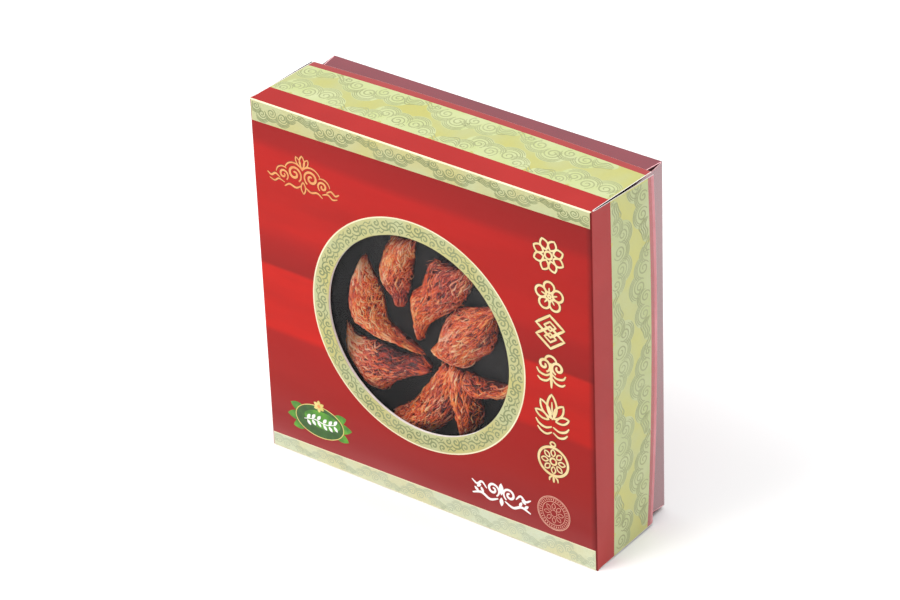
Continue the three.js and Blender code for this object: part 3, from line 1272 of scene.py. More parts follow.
class BandTree(MeshTree):
    """Lays a motif along a band, standing on one of its edges or on both in turn."""

    UPPER_RISE = 10.5 * LAYER

    def __init__(self) -> None:
        """Builds the tree."""
        super().__init__("scroll_band", {
            "Count": "Int", "Pitch": "Float", "Start": "Float", "Band width": "Float",
            "Motif scale": "Float", "Alternate": "Float", "First edge": "Float"}, "Ink")
        given = self.given
        width, size = given["Band width"], given["Motif scale"]
        line = self.node("GeometryNodeMeshLine", Count=given["Count"],
                         Start_Location=self.vector(given["Start"]),
                         Offset=self.vector(given["Pitch"]))
        index = self.node("GeometryNodeInputIndex").outputs[0]
        turn = self.number("MULTIPLY", index, given["Alternate"])
        odd = self.number("MODULO", self.number("ADD", turn, given["First edge"]), 2.0)
        edge = self.number("SUBTRACT", self.number("MULTIPLY", odd, width),
                           self.number("MULTIPLY", width, 0.5))
        above = self.number("MULTIPLY", odd, self.UPPER_RISE * METRES)
        shift = self.node("GeometryNodeSetPosition", Geometry=line.outputs["Mesh"],
                          Offset=self.vector(0.0, edge, above))
        half_turn = self.vector(z=self.number("MULTIPLY", odd, math.pi))
        each = self.node("GeometryNodeInstanceOnPoints", Points=shift.outputs["Geometry"],
                         Instance=given["Geometry"], Rotation=half_turn,
                         Scale=self.vector(size, size, 1.0))
        self.close(each.outputs["Instances"])

    def lay(self, motif: PrintSheet, length: float, width: float, pitch: float,
            scale: float, start: float, ink: Material, alternate: bool = True,
            first_edge: int = 0) -> PrintSheet:
        """Lays a motif along a flat band and trims it to the band.

        Args:
            motif: The flat motif, with the band's edge along y = 0.
            length: The band's length.
            width: The band's width.
            pitch: The distance between one motif and the next.
            scale: The motif's scale.
            start: The first motif's place from the band's middle.
            ink: The motif's material.
            alternate: Whether the motifs stand on the two edges in turn.
            first_edge: The edge of the first one, 0 for the lower and 1 for the upper.

        Returns:
            The flat band's sheet.
        """
        band = self.run(motif.mesh("motif"), "band", {
            "Count": int((length / 2 - start) / pitch) + 2, "Pitch": pitch * METRES,
            "Start": start * METRES, "Band width": width * METRES, "Motif scale": scale,
            "Alternate": float(alternate), "First edge": float(first_edge), "Ink": ink})
        work = bmesh.new()
        work.from_mesh(band.data)
        for away, reach in (((1, 0, 0), length / 2), ((-1, 0, 0), length / 2),
                            ((0, 1, 0), width / 2), ((0, -1, 0), width / 2)):
            place = Vector(away) * reach * METRES
            cut = bmesh.ops.bisect_plane(work, geom=work.verts[:] + work.edges[:] + work.faces[:],
                                         plane_co=place, plane_no=away, clear_outer=True)
            rim = [item for item in cut["geom_cut"] if isinstance(item, bmesh.types.BMEdge)]
            bmesh.ops.edgeloop_fill(work, edges=rim)
        made = PrintSheet()
        work.verts.ensure_lookup_table()
        points = np.array([vert.co[:] for vert in work.verts]) / METRES
        made.draft.add(points, [[vert.index for vert in face.verts] for face in work.faces])
        work.free()
        bpy.data.objects.remove(band)
        return made


@dataclass
class ScrollPrint:
    """The cloud scrolls printed on the lid's gold bands and on the ring round the window."""

    lid: LidShell
    wall_pitch: float = 30.0
    wall_scale: float = 0.98
    ring_turns: int = 38
    margin: float = 0.7
    BODY_LOW, BODY_DROP = 0.014, 0.020

    def _on_wall(self, side: Side) -> Laying:
        """Makes the function that lays a flat band on a wall.

        Args:
            side: The wall.

        Returns:
            The function, from rows of u, v, height to rows of x, y, z.
        """
        centre = (self.lid.band_start + self.lid.band_end) / 2

        def place(flat: np.ndarray) -> np.ndarray:
            """Lays rows of u, v, height on the wall."""
            along = np.clip(flat[:, 0] / self.lid.shape.half, -1, 1)
            return self.lid.shape.wall_points(side, along, centre + flat[:, 1], -flat[:, 2])
        return place

    def _on_face(self, top: bool, width: float) -> Laying:
        """Makes the function that lays a flat band on the face's top or bottom band.

        Args:
            top: Whether it's the top band.
            width: The flat band's width.

        Returns:
            The function, from rows of u, v, height to rows of x, y, z.
        """
        fold = self.lid.fold_radius + SKIN + 0.1
        high = self.lid.shape.centre_z + self.lid.shape.half - fold
        low = self.lid.shape.centre_z - self.lid.shape.half + fold

        def place(flat: np.ndarray) -> np.ndarray:
            """Lays rows of u, v, height on the band."""
            x = flat[:, 0]
            share = flat[:, 1] / width + 0.5
            first = self.lid.top_edge(x) if top else np.full(len(x), low)
            last = np.full(len(x), high) if top else self.lid.bottom_edge(x)
            return np.stack([x, self._front() - flat[:, 2], first + (last - first) * share], 1)
        return place

    def _on_ring(self, flat: np.ndarray) -> np.ndarray:
        """Lays rows of u, v, height on the ring."""
        middle = (self.lid.hole_radius + self.lid.gold_radius) / 2
        turn = flat[:, 0] / middle
        reach = middle + flat[:, 1]
        return np.stack([self.lid.hole_x + reach * np.sin(turn), self._front() - flat[:, 2],
                         self.lid.hole_z + reach * np.cos(turn)], 1)

    def _front(self) -> float:
        """Returns the place of the lid's printed front."""
        return self.lid.shape.fold_y + SKIN

    def build(self, finishes: dict[str, Material]) -> Piece:
        """Builds all the scrolls as one piece.

        Args:
            finishes: The materials by name.

        Returns:
            The scrolls' object.
        """
        tree = BandTree()
        inks = [finishes[name] for name in ("scroll", "wall_scroll", "cloud", "low_scroll")]
        whole = MeshDraft()
        width = self.lid.band_end - self.lid.band_start
        length = 2 * (self.lid.shape.half - 1.5)
        for side, start in zip(Side, (-96.0, -104.0, -92.0, -99.0)):
            for edge in (0, 1):
                first = start + edge * self.wall_pitch
                for slot, motif in ((2, cloud_body(edge, self.BODY_LOW - edge * self.BODY_DROP)),
                                    (1, PrintSheet.lined(cloud_bank(edge)))):
                    band = tree.lay(motif, length, width, 2 * self.wall_pitch, self.wall_scale,
                                    first, inks[slot], False, edge)
                    self._join(whole, band.laid(self._on_wall(side)), slot)
        for top, width, pitch, scale, start in ((True, 12.4, 39.0, 0.68, -95.0),
                                                (False, 10.0, 31.0, 0.56, -100.0)):
            slot = 0 if top else 3
            band = tree.lay(PrintSheet.lined(cloud_bank()), length, width, pitch, scale, start,
                            inks[slot], False, int(top))
            self._join(whole, band.laid(self._on_face(top, width)), slot)
        middle = (self.lid.hole_radius + self.lid.gold_radius) / 2
        girth = 2 * math.pi * middle
        width = self.lid.gold_radius - self.lid.hole_radius - self.margin
        band = tree.lay(PrintSheet.lined(small_cloud()), girth, width,
                        girth / self.ring_turns, 1.06, -girth / 2, inks[0])
        self._join(whole, band.laid(self._on_ring), 0)
        return whole.build("lid_cloud_scrolls", inks, 30.0, merge=1e-5)

    @staticmethod
    def _join(whole: MeshDraft, part: MeshDraft, slot: int) -> None:
        """Adds one draft to another, in one slot."""
        whole.add(np.concatenate(part.points), part.faces, slot)


INK_HEIGHT = 0.04


class Ink(IntEnum):
    """The inks of the face's small prints, by material slot."""

    GOLD = 0
    SHADOW = 1
    COPPER = 2
    GREEN = 3
    LEAF = 4
    WHITE = 5
    YELLOW = 6
    SEAL = 7


@dataclass
class FacePrint:
    """The small prints on the lid's face: ornaments, a vignette, a badge, a scroll and a seal."""

    front_y: float
    column_x: float = 83.0
    column_z: tuple[float, ...] = (186.0, 161.5, 140.2, 116.5, 88.8, 60.1)
    vignette: Point2 = (-76.4, 181.6)
    badge: Point2 = (-75.2, 27.2)
    scroll: Point2 = (48.2, 26.0)
    seal: Point2 = (82.5, 27.0)
    sheet: PrintSheet = field(default_factory=PrintSheet)

    def _draw(self, strokes: list[Stroke], ink: Ink = Ink.GOLD, rim: float = 0.8) -> None:
        """Draws strokes, over a wider dark line where rim isn't 0."""
        for index, stroke in enumerate(strokes):
            if rim:
                wide = Stroke(stroke.points, stroke.width + rim, stroke.taper, stroke.closed)
                self.sheet.line(wide, 0.5 * LAYER * (index + 1), Ink.SHADOW)
            self.sheet.line(stroke, INK_HEIGHT + LAYER * index, ink)

    def _rosette(self) -> list[Stroke]:
        """Draws an eight-petalled rosette."""
        petals = [loop(petal(0, 0, 22.5 + 45 * i, 3.4, 9.8, 2.5), 1.15)
                  for i in range(8)]
        return petals + [loop(oval(0, 0, 2.2, 2.2, 20), 1.2)]

    def _blossom(self) -> list[Stroke]:
        """Draws a five-petalled blossom.

        Returns:
            Its strokes.
        """
        strokes = []
        for i in range(5):
            angle = math.radians(90 + 72 * i)
            x, y = 5.5 * math.cos(angle), 5.5 * math.sin(angle)
            strokes.append(loop(oval(x, y, 3.3, 3.3, 22), 1.3))
            strokes.append(Stroke(np.linspace((0.28 * x, 0.28 * y), (0.95 * x, 0.95 * y), 6),
                                  1.0, 0.4))
        return strokes + [loop(oval(0, 0, 0.9, 0.9, 14), 1.1)]

    def _lozenges(self) -> list[Stroke]:
        """Draws two linked lozenges.

        Returns:
            Its strokes.
        """
        strokes = []
        for y in (3.4, -3.4):
            corners = np.array([(8.8, y), (0, y + 6.6), (-8.8, y), (0, y - 6.6), (8.8, y)])
            outline = np.concatenate([np.linspace(a, b, 6)[:-1]
                                      for a, b in zip(corners, corners[1:])])
            strokes.append(loop(outline, 1.5))
            strokes.append(loop(outline * 0.42 + (0, y * 0.58), 1.1))
        return strokes

    def _ruyi(self) -> list[Stroke]:
        """Draws a cloud head of two curls on a tapered stem."""
        curls = [Stroke(spiral(4.4, 2.6, 4.2, -1.35, 250, count=34), 1.6, 0.6),
                 Stroke(curve((0.3, -1.6), (3.2, -3.6), (7.6, -2.8), (9.2, -0.4)), 1.3, 0.4),
                 Stroke(curve((0.3, -4.2), (3.0, -6.8), (6.6, -7.2), (8.8, -5.6)), 1.3, 0.4)]
        crown = Stroke(arc(0, 5.4, 3.6, -8, 188, 16), 1.4, 0.6)
        stem = Stroke(curve((0, 4.8), (0, -1), (0, -6), (0, -10.6)), 1.8, 0.3)
        return both(curls) + [crown, stem]

    def _lotus(self) -> list[Stroke]:
        """Draws a lotus over two ripples."""
        sides = [loop(petal(0, -3.5, 58, 2.2, 13.6, 2.4), 1.2),
                 loop(petal(0, -4.0, 24, 2.6, 11.6, 2.0), 1.2),
                 Stroke(curve((0.4, -7.0), (4.5, -8.6), (8.6, -7.2), (10.6, -4.6)), 1.4, 0.4),
                 Stroke(curve((0.4, -10.4), (4.0, -12.4), (7.4, -11.4), (9.6, -9.2)), 1.3, 0.4)]
        centre = loop(petal(0, -3.6, 90, 1.6, 16.6, 3.0), 1.35)
        return both(sides) + [centre, Stroke(np.linspace((0, 0.5), (0, 8.5), 6), 1.0, 0.4)]

    def _medallion(self) -> list[Stroke]:
        """Draws a round medallion with a knot above and a tassel below.

        Returns:
            Its strokes.
        """
        strokes = [loop(oval(0, 0, 9.4, 8.8, 48), 1.5), loop(oval(0, 0, 2.0, 2.0, 18), 1.1)]
        strokes += [loop(petal(0, 0, 45 * i, 3.2, 7.6, 1.35, 8), 0.85)
                    for i in range(8)]
        strokes += [loop(oval(0, 10.9, 1.6, 1.3, 16), 1.0),
                    Stroke(np.linspace((0, -9.2), (0, -13.2), 5), 1.5, 0.4)]
        return strokes + both([Stroke(curve((0.8, -9.4), (2.4, -10.6), (2.8, -12.6)), 1.1, 0.4)])

    def _column(self) -> None:
        """Draws the column of six gold ornaments."""
        drawings = (self._rosette, self._blossom, self._lozenges, self._ruyi, self._lotus,
                    self._medallion)
        for drawing, height in zip(drawings, self.column_z):
            self._draw([stroke.moved(self.column_x, height) for stroke in drawing()])

    def _vignette(self) -> None:
        """Draws the copper cloud vignette in the upper corner."""
        side = [Stroke(spiral(5.6, 0.8, 4.9, -1.5, 235, count=36), 1.5, 0.5),
                Stroke(spiral(13.2, -1.8, 3.4, -1.3, 235, count=26), 1.3, 0.5),
                Stroke(arc(5.6, 0.8, 6.6, 20, 150, 14), 1.0, 0.4),
                Stroke(arc(13.2, -1.8, 4.9, 5, 118, 10), 0.9, 0.4),
                Stroke(curve((15.6, -4.6), (18.8, -2.8), (21.6, -4.6), (24.2, -3.2)), 1.2, 0.3),
                Stroke(curve((12.6, -6.6), (16.6, -5.4), (19.6, -7.4), (23.0, -6.4)), 1.0, 0.3),
                Stroke(curve((1.0, -5.2), (5.0, -7.6), (9.4, -6.6), (12.8, -8.8)), 1.2, 0.3),
                loop(petal(0, 4.0, 62, 2.4, 8.6, 1.3, 8), 0.8)]
        strokes = both(side) + [
            loop(petal(0, 3.4, 90, 2.0, 9.6, 1.7), 0.9),
            loop(petal(0, -1.0, 270, 2.0, 9.0, 1.5), 0.9)]
        x, y = self.vignette
        self._draw([stroke.moved(x, y) for stroke in strokes], Ink.COPPER, 0.6)

    def _badge(self) -> None:
        """Draws the green oval badge with its sprig and flower."""
        x, y = self.badge
        for sign in (-1, 1):
            for index, (turn, far) in enumerate(((4, 22.6), (24, 20.6), (-18, 21.0))):
                angle = turn if sign > 0 else 180 + turn
                self.sheet.fill(petal(x, y, angle, 9, far, 3.2), 0.01 + LAYER * index, Ink.LEAF)
        self.sheet.fill(oval(x, y, 16.9, 10.4), 0.035, Ink.YELLOW)
        self.sheet.fill(oval(x, y, 16.4, 9.9), 0.045, Ink.GREEN)
        self.sheet.fill(oval(x + 2.0, y + 1.6, 12.6, 5.6), 0.055, Ink.LEAF)
        stem = curve((-11, -1.2), (-4, 0.6), (4, -0.4), (11.4, 1.8), count=24)
        self.sheet.line(Stroke(stem + (x, y), 0.7, 0.4), 0.065, Ink.WHITE)
        for step in range(2, 23, 4):
            for turn in (52, -52):
                leaf = petal(x + stem[step, 0], y + stem[step, 1], turn, 0.6, 4.6, 1.0, 7)
                self.sheet.fill(leaf, 0.065, Ink.WHITE)
        for index, turn in enumerate(range(30, 360, 60)):
            self.sheet.fill(petal(x, y + 10.2, turn, 0.6, 3.9, 1.1, 7), 0.05 + LAYER * index,
                            Ink.YELLOW)
        self.sheet.fill(oval(x, y + 10.2, 1.1, 1.1, 16), 0.075, Ink.COPPER)

    def _scroll(self) -> None:
        """Draws the white scroll beside the seal."""
        side = [Stroke(spiral(5.4, 1.4, 4.3, -1.45, 240, count=34), 1.5, 0.5),
                Stroke(curve((2.2, -3.6), (7.6, -5.8), (13.2, -3.4), (19.2, -5.4)), 1.6, 0.3),
                Stroke(curve((9.6, 0.4), (12.8, 3.6), (16.0, 1.2), (19.4, 3.2)), 1.4, 0.3)]
        x, y = self.scroll
        strokes = both(side)
        self._draw([stroke.moved(x, y) for stroke in strokes], Ink.WHITE, 0.0)
        leaves = [((0, -1.0), 90, 8.2, 1.6), ((0, -1.6), 270, 6.0, 1.3)]
        for at, turn in (((11.5, -3.6), 60), ((14.6, -3.8), 40), ((13.0, 2.0), -40)):
            leaves += [(at, turn, 4.2, 0.9), ((-at[0], at[1]), 180 - turn, 4.2, 0.9)]
        for index, (at, turn, far, half) in enumerate(leaves):
            self.sheet.fill(petal(x + at[0], y + at[1], turn, 0.4, far, half, 7),
                            0.055 + LAYER * index, Ink.WHITE)

    def _seal(self) -> None:
        """Draws the fine round seal."""
        x, y = self.seal
        for radius, width in ((10.4, 0.42), (9.7, 0.26), (7.3, 0.32), (2.0, 0.3)):
            self.sheet.line(loop(oval(x, y, radius, radius, 60), width), 0.05, Ink.SEAL)
        for turn in range(0, 360, 10):
            spoke = np.array([(math.cos(math.radians(turn)), math.sin(math.radians(turn)))])
            ends = np.vstack([8.0 * spoke, 9.1 * spoke]) + (x, y)
            self.sheet.line(Stroke(ends, 0.42), 0.05, Ink.SEAL)
        for turn in range(0, 360, 45):
            leaf = petal(x, y, turn, 2.6, 6.3, 1.1, 8)
            self.sheet.line(loop(leaf, 0.3), 0.05, Ink.SEAL)

    def build(self, finishes: dict[str, Material]) -> Piece:
        """Builds the prints as one piece.

        Args:
            finishes: The materials by name.

        Returns:
            The prints' object.
        """
        self._column()
        self._vignette()
        self._badge()
        self._scroll()
        self._seal()
        laid = self.sheet.laid(lambda flat: np.stack(
            [flat[:, 0], self.front_y - flat[:, 2], flat[:, 1]], 1))
        inks = [finishes["ink_" + ink.name.lower()] for ink in Ink]
        return laid.build("lid_face_print", inks, 30.0, merge=1e-5)


@dataclass
class NestLobe:
    """One cupped lobe of a nest, from its hub end outwards between two edges."""

    height: float
    left: list[Point2]
    right: list[Point2]
    tone: float = 0.5
    pale_hub: float = 0.0
    pale_end: float = 0.0
    fray: float = 1.0
    bed_y: float = -17.0
    rim: float = 2.2
    shell: float = 3.4

    def __post_init__(self) -> None:
        """Samples the two edges once."""
        self.left_share, self.left_line = arc_length_curve(self.left)
        self.right_share, self.right_line = arc_length_curve(self.right)
        steps = np.linspace(0, 1, 60)
        middle = (self._edge(0, steps) + self._edge(1, steps)) / 2
        self.length = float(np.linalg.norm(np.diff(middle, axis=0), axis=1).sum())
        self.width = float(np.linalg.norm(self._edge(0, steps) - self._edge(1, steps),
                                          axis=1).mean())

    def _edge(self, which: int, along: np.ndarray) -> np.ndarray:
        """Finds points of an edge, run on straight past its ends.

        Args:
            which: The edge, 0 for the left and 1 for the right.
            along: The places along it, from 0 to 1 between its ends.

        Returns:
            Rows of x, z.
        """
        share, line = ((self.left_share, self.left_line), (self.right_share, self.right_line)
                       )[which]
        inside = np.clip(along, 0, 1)
        point = np.stack([np.interp(inside, share, line[:, axis]) for axis in (0, 1)], axis=-1)
        start = (line[4] - line[0]) / (share[4] - share[0])
        end = (line[-1] - line[-5]) / (share[-1] - share[-5])
        over = np.asarray(along - inside)[..., None]
        return point + np.where(over < 0, over * start, over * end)

    def dome(self, along: np.ndarray, across: np.ndarray) -> np.ndarray:
        """Returns the height of the lobe's dome above its rim."""
        inward = np.clip(0.05 + 0.9 * along, 0.001, 0.999)
        side = np.clip(across, 0.0, 1.0)
        return self.height * np.sin(math.pi * inward) ** 0.5 * np.sin(math.pi * side) ** 0.7

    def place(self, along: np.ndarray, across: np.ndarray, lift: np.ndarray) -> np.ndarray:
        """Returns the points at a lift above the bed."""
        left, right = self._edge(0, along), self._edge(1, along)
        flat = left + (right - left) * np.asarray(across)[..., None]
        return np.stack([flat[..., 0], self.bed_y - lift, flat[..., 1]], axis=-1)

    def regional_tone(self, along: np.ndarray) -> np.ndarray:
        """Returns the tone that a place along the lobe starts from."""
        hub = self.pale_hub * (1 - smoothstep(0.0, 0.14, along))
        end = self.pale_end * smoothstep(0.82, 1.0, along)
        return self.tone + hub + end


@dataclass(frozen=True)
class Patch:
    """A soft patch on a nest that shifts its tone and pulls its hue from orange to pink; the
    patches hold the nest's own colour along with painted highlights and painted shade.
    """

    x: float
    z: float
    reach: float
    tone: float
    hue: float


@dataclass(frozen=True)
class StrandKind:
    """One kind of strand: its share of all strands, and its ranges in millimetres."""

    share: float
    length: tuple[float, float]
    radius: tuple[float, float]
    rise: tuple[float, float]
    bulge: tuple[float, float]
    overhang: float
    slant: float
    sway: float
    tone: float
    spread: float


STRAND_KINDS = (
    StrandKind(share=0.50, length=(4.5, 10), radius=(0.40, 0.70), rise=(-0.75, 0.1),
               bulge=(0.5, 1.2), overhang=0.03, slant=0.11, sway=0.35, tone=0.0,
               spread=0.17),
    StrandKind(share=0.36, length=(3, 9), radius=(0.22, 0.36), rise=(-0.3, 0.4),
               bulge=(0.3, 1.0), overhang=0.06, slant=0.20, sway=0.35, tone=0.04,
               spread=0.20),
    StrandKind(share=0.14, length=(4, 10), radius=(0.09, 0.15), rise=(0.1, 0.8),
               bulge=(0.1, 0.7), overhang=0.10, slant=0.42, sway=0.5, tone=0.12,
               spread=0.20),
)


@dataclass
class Nest:
    """A dried nest: its cupped body and the fine strands that cover it."""

    name: str
    lobes: list[NestLobe]
    seed: int
    strands: int = 1100
    patches: tuple[Patch, ...] = ()
    RELIEF = 0.9
    SEGMENTS = 9
    SUNK = 1.0
    HIGHEST = 14.2
    # The body uses the strands' finish made darker, as painted shade in the gaps between strands.
    BODY_PAINTED_SHADE = 0.42
    HUE = 0.35

    def _relief(self, rng: np.random.Generator, rows: int, columns: int) -> np.ndarray:
        """Makes a height map of lengthwise strand ridges and soft lumps.

        Args:
            rng: The seeded source of randomness.
            rows: Its size along the lobe.
            columns: Its size across.

        Returns:
            The heights, from about -1 to 1.
        """
        cross = np.linspace(0, 1, columns)[None, :]
        total = np.zeros((rows, columns))
        for waves, share in ((9, 0.35), (17, 0.3), (31, 0.35)):
            drift = 0.9 * smooth_noise(rng, rows, 7)[:, None]
            swell = 0.6 + 0.4 * smooth_noise(rng, rows, 9)[:, None]
            phase = 6 * smooth_noise(rng, columns, 8)[None, :]
            total += share * swell * np.sin(waves * math.pi * cross + phase + 3 * drift)
        total += 0.35 * smooth_noise(rng, rows, 22)[:, None] * smooth_noise(rng, columns, 12)
        return total

    def _body(self, material: Material, rng: np.random.Generator) -> Piece:
        """Builds the cupped body with its relief and tones.

        Args:
            material: Its material.
            rng: The seeded source of randomness.

        Returns:
            The body's object.
        """
        draft = MeshDraft()
        for lobe in self.lobes:
            rows = int(np.clip(lobe.length / 0.6, 50, 150)) + 1
            columns = int(np.clip(lobe.width / 0.45, 34, 90)) + 1
            along = np.linspace(0, 1, rows)[:, None] * np.ones((1, columns))
            across = np.linspace(0, 1, columns)[None, :] * np.ones((rows, 1))
            relief = self._relief(rng, rows, columns)
            fade = np.sin(math.pi * across) ** 0.4 * np.sin(math.pi * (0.03 + 0.94 * along)) ** 0.5
            lift = lobe.rim + lobe.dome(along, across) + self.RELIEF * relief * fade
            lift = np.maximum(lift - self.SUNK * fade, 0.3)
            ragged = 0.012 * smooth_noise(rng, columns, 26)[None, :] * (along > 0.5)
            outer = lobe.place(along * (0.985 + ragged), across, lift)
            border = (along == 0) | (along == 1) | (across == 0) | (across == 1)
            hollow = 0.8 * np.maximum(0, lobe.rim + lobe.dome(along, across) - lobe.shell)
            inner = lobe.place(along * (0.985 + ragged), across, np.where(border, 0.0, hollow))
            draft.add_grid(outer, [0] * rows)
            draft.add_grid(inner[:, ::-1], [0] * rows)
            for first, second in ((outer[0], inner[0]), (outer[-1], inner[-1]),
                                  (outer[:, 0], inner[:, 0]), (outer[:, -1], inner[:, -1])):
                draft.add_grid(np.array([first, second]), [0])
        piece = draft.build(self.name + "_body", [material], 180.0, merge=1e-4)
        place = np.zeros(len(piece.data.vertices) * 3)
        piece.data.vertices.foreach_get("co", place)
        place = place.reshape(-1, 3) / METRES
        mottle = 0.06 * np.sin(place @ np.array([0.9, 0, 0.7]))
        # The body's tone is lowered as painted shade between the strands.
        tone, hue = self._coloured(place, self.lobes[0].tone - self.BODY_PAINTED_SHADE + mottle)
        self._store(piece.data, tone=tone, hue=hue)
        return piece

    def _coloured(self, points: np.ndarray, tone: np.ndarray) -> tuple[np.ndarray, np.ndarray]:
        """Shifts the tone and hue at points as the nest's patches have it.

        Args:
            points: The points.
            tone: Their tones.

        Returns:
            The shifted tones, and the hues.
        """
        tone = np.array(tone, float)
        hue = np.full(tone.shape, self.HUE)
        for patch in self.patches:
            away = (points[..., 0] - patch.x) ** 2 + (points[..., 2] - patch.z) ** 2
            weight = np.exp(-away / (2 * patch.reach ** 2))
            tone += weight * patch.tone
            hue += weight * (patch.hue - hue)
        return tone, hue

    @staticmethod
    def _store(mesh: bpy.types.Mesh, **attributes: np.ndarray) -> None:
        """Stores a number for each point under each name."""
        for label, values in attributes.items():
            made = mesh.attributes.new(label, "FLOAT", "POINT")
            made.data.foreach_set("value", values.astype(np.float32).ravel())

    def _strand_points(self, lobe: NestLobe, kind: StrandKind, count: int,
                       rng: np.random.Generator) -> tuple[np.ndarray, ...]:
        """Lays strands of one kind along a lobe.

        Args:
            lobe: The lobe they lie on.
            kind: How long, thick and loose they are.
            count: How many strands.
            rng: The seeded source of randomness.

        Returns:
            Their points, radii, tones and hues, by strand and point.
        """
        steps = self.SEGMENTS + 1
        run = np.linspace(0, 1, steps)[None, :]

        def pick(low: float, high: float) -> np.ndarray:
            """Returns a random number for each strand."""
            return rng.uniform(low, high, (count, 1))

        length = pick(*kind.length) / lobe.length
        fray = 0.03 * lobe.fray
        start = np.clip(pick(-0.05, 1.0 + fray) - 0.5 * length, -0.02, 1 + fray - length)
        along = start + length * run
        middle = pick(-0.01, 1.01)
        slant = rng.normal(0, kind.slant, (count, 1)) * length * lobe.length / lobe.width
        sway = kind.sway / lobe.width * np.sin(pick(4, 10) * run + pick(0, 6.3))
        across = middle + slant * (run - 0.5) + sway
        across = np.clip(across, -kind.overhang, 1 + kind.overhang)
        bulge = pick(*kind.bulge) * np.sin(math.pi * run) ** 0.8
        dips = 0.2 * np.sin(pick(3, 9) * run + pick(0, 6.3))
        proud = pick(*kind.rise) + bulge + dips
        droop = np.clip((along - 0.96) / 0.06, 0, 1) * pick(-1.6, 0.4)
        lift = np.maximum(lobe.rim + lobe.dome(along, across) + proud + droop, 0.6)
        lift = np.minimum(lift, self.HIGHEST)
        radius = pick(*kind.radius) * (0.35 + 0.65 * np.sin(math.pi * (0.06 + 0.88 * run)) ** 0.6)
        radius = radius * (1 + 0.18 * np.sin(pick(8, 20) * run + pick(0, 6.3)))
        tone = lobe.regional_tone(along) + kind.tone + rng.normal(0, kind.spread, (count, 1))
        # Painted light and shade: strands that stand proud are lighter and sunk ones darker, in
        # place of their shadows on one another.
        tone = tone + 0.30 * (proud - 0.5) + rng.normal(0, 0.04, (count, steps))
        points = lobe.place(along, across, lift)
        tone, hue = self._coloured(points, tone)
        return points, radius, tone, hue + rng.normal(0, 0.22, (count, 1))

    def _strand_mesh(self, rng: np.random.Generator) -> Piece:
        """Builds the strands' centrelines as edges, with a radius and tone at each point.

        Args:
            rng: The seeded source of randomness.

        Returns:
            The centrelines' object.
        """
        areas = np.array([lobe.length * lobe.width for lobe in self.lobes])
        counts = self.strands * areas / areas.sum()
        parts = [self._strand_points(lobe, kind, int(count * kind.share), rng)
                 for lobe, count in zip(self.lobes, counts) for kind in STRAND_KINDS]
        points = np.concatenate([part[0].reshape(-1, 3) for part in parts]) * METRES
        radius = np.concatenate([part[1].reshape(-1) for part in parts]) * METRES
        tone = np.concatenate([part[2].reshape(-1) for part in parts])
        hue = np.concatenate([part[3].reshape(-1) for part in parts])
        steps = self.SEGMENTS + 1
        first = np.arange(len(points)).reshape(-1, steps)
        edges = np.stack([first[:, :-1].ravel(), first[:, 1:].ravel()], axis=1)
        mesh = bpy.data.meshes.new(self.name + "_lines")
        mesh.from_pydata(points.tolist(), edges.tolist(), [])
        self._store(mesh, thickness=radius, tone=tone, hue=hue)
        return add_object(self.name + "_lines", mesh)

    def build(self, materials: dict[str, Material], tree: "StrandTree") -> None:
        """Builds the nest's body and strands and fixes them to the box.

        Args:
            materials: The materials by name.
            tree: The node tree that turns centrelines into strands.
        """
        rng = np.random.default_rng(self.seed)
        body = self._body(materials["nest_body"], rng)
        report(body, "dried_strands", self.name)
        lines = self._strand_mesh(rng)
        strands = tree.dress(lines, self.name + "_strands", materials["strands"])
        report(strands, "dried_strands")


class StrandTree(MeshTree):
    """Turns edges with a thickness into tapered strands."""

    SIDES = 5

    def __init__(self) -> None:
        """Builds the tree."""
        super().__init__("nest_strands", {"Sides": "Int", "Thickness scale": "Float"},
                         "Strand finish")
        centre = self.node("GeometryNodeMeshToCurve", Mesh=self.given["Geometry"])
        profile = self.node("GeometryNodeCurvePrimitiveCircle",
                            Resolution=self.given["Sides"], Radius=1.0)
        thickness = self.node("GeometryNodeInputNamedAttribute", Name="thickness")
        scale = self.number("MULTIPLY", thickness.outputs["Attribute"],
                            self.given["Thickness scale"])
        tube = self.node("GeometryNodeCurveToMesh", Curve=centre.outputs["Curve"],
                         Profile_Curve=profile.outputs["Curve"], Scale=scale, Fill_Caps=True)
        smooth = self.node("GeometryNodeSetShadeSmooth", Geometry=tube.outputs["Mesh"])
        self.close(smooth.outputs["Geometry"])

    def dress(self, lines: Piece, name: str, material: Material) -> Piece:
        """Turns an object's centrelines into strands of a given name and material."""
        return self.run(lines, name, {"Sides": self.SIDES, "Thickness scale": 1.0,
                                      "Strand finish": material})
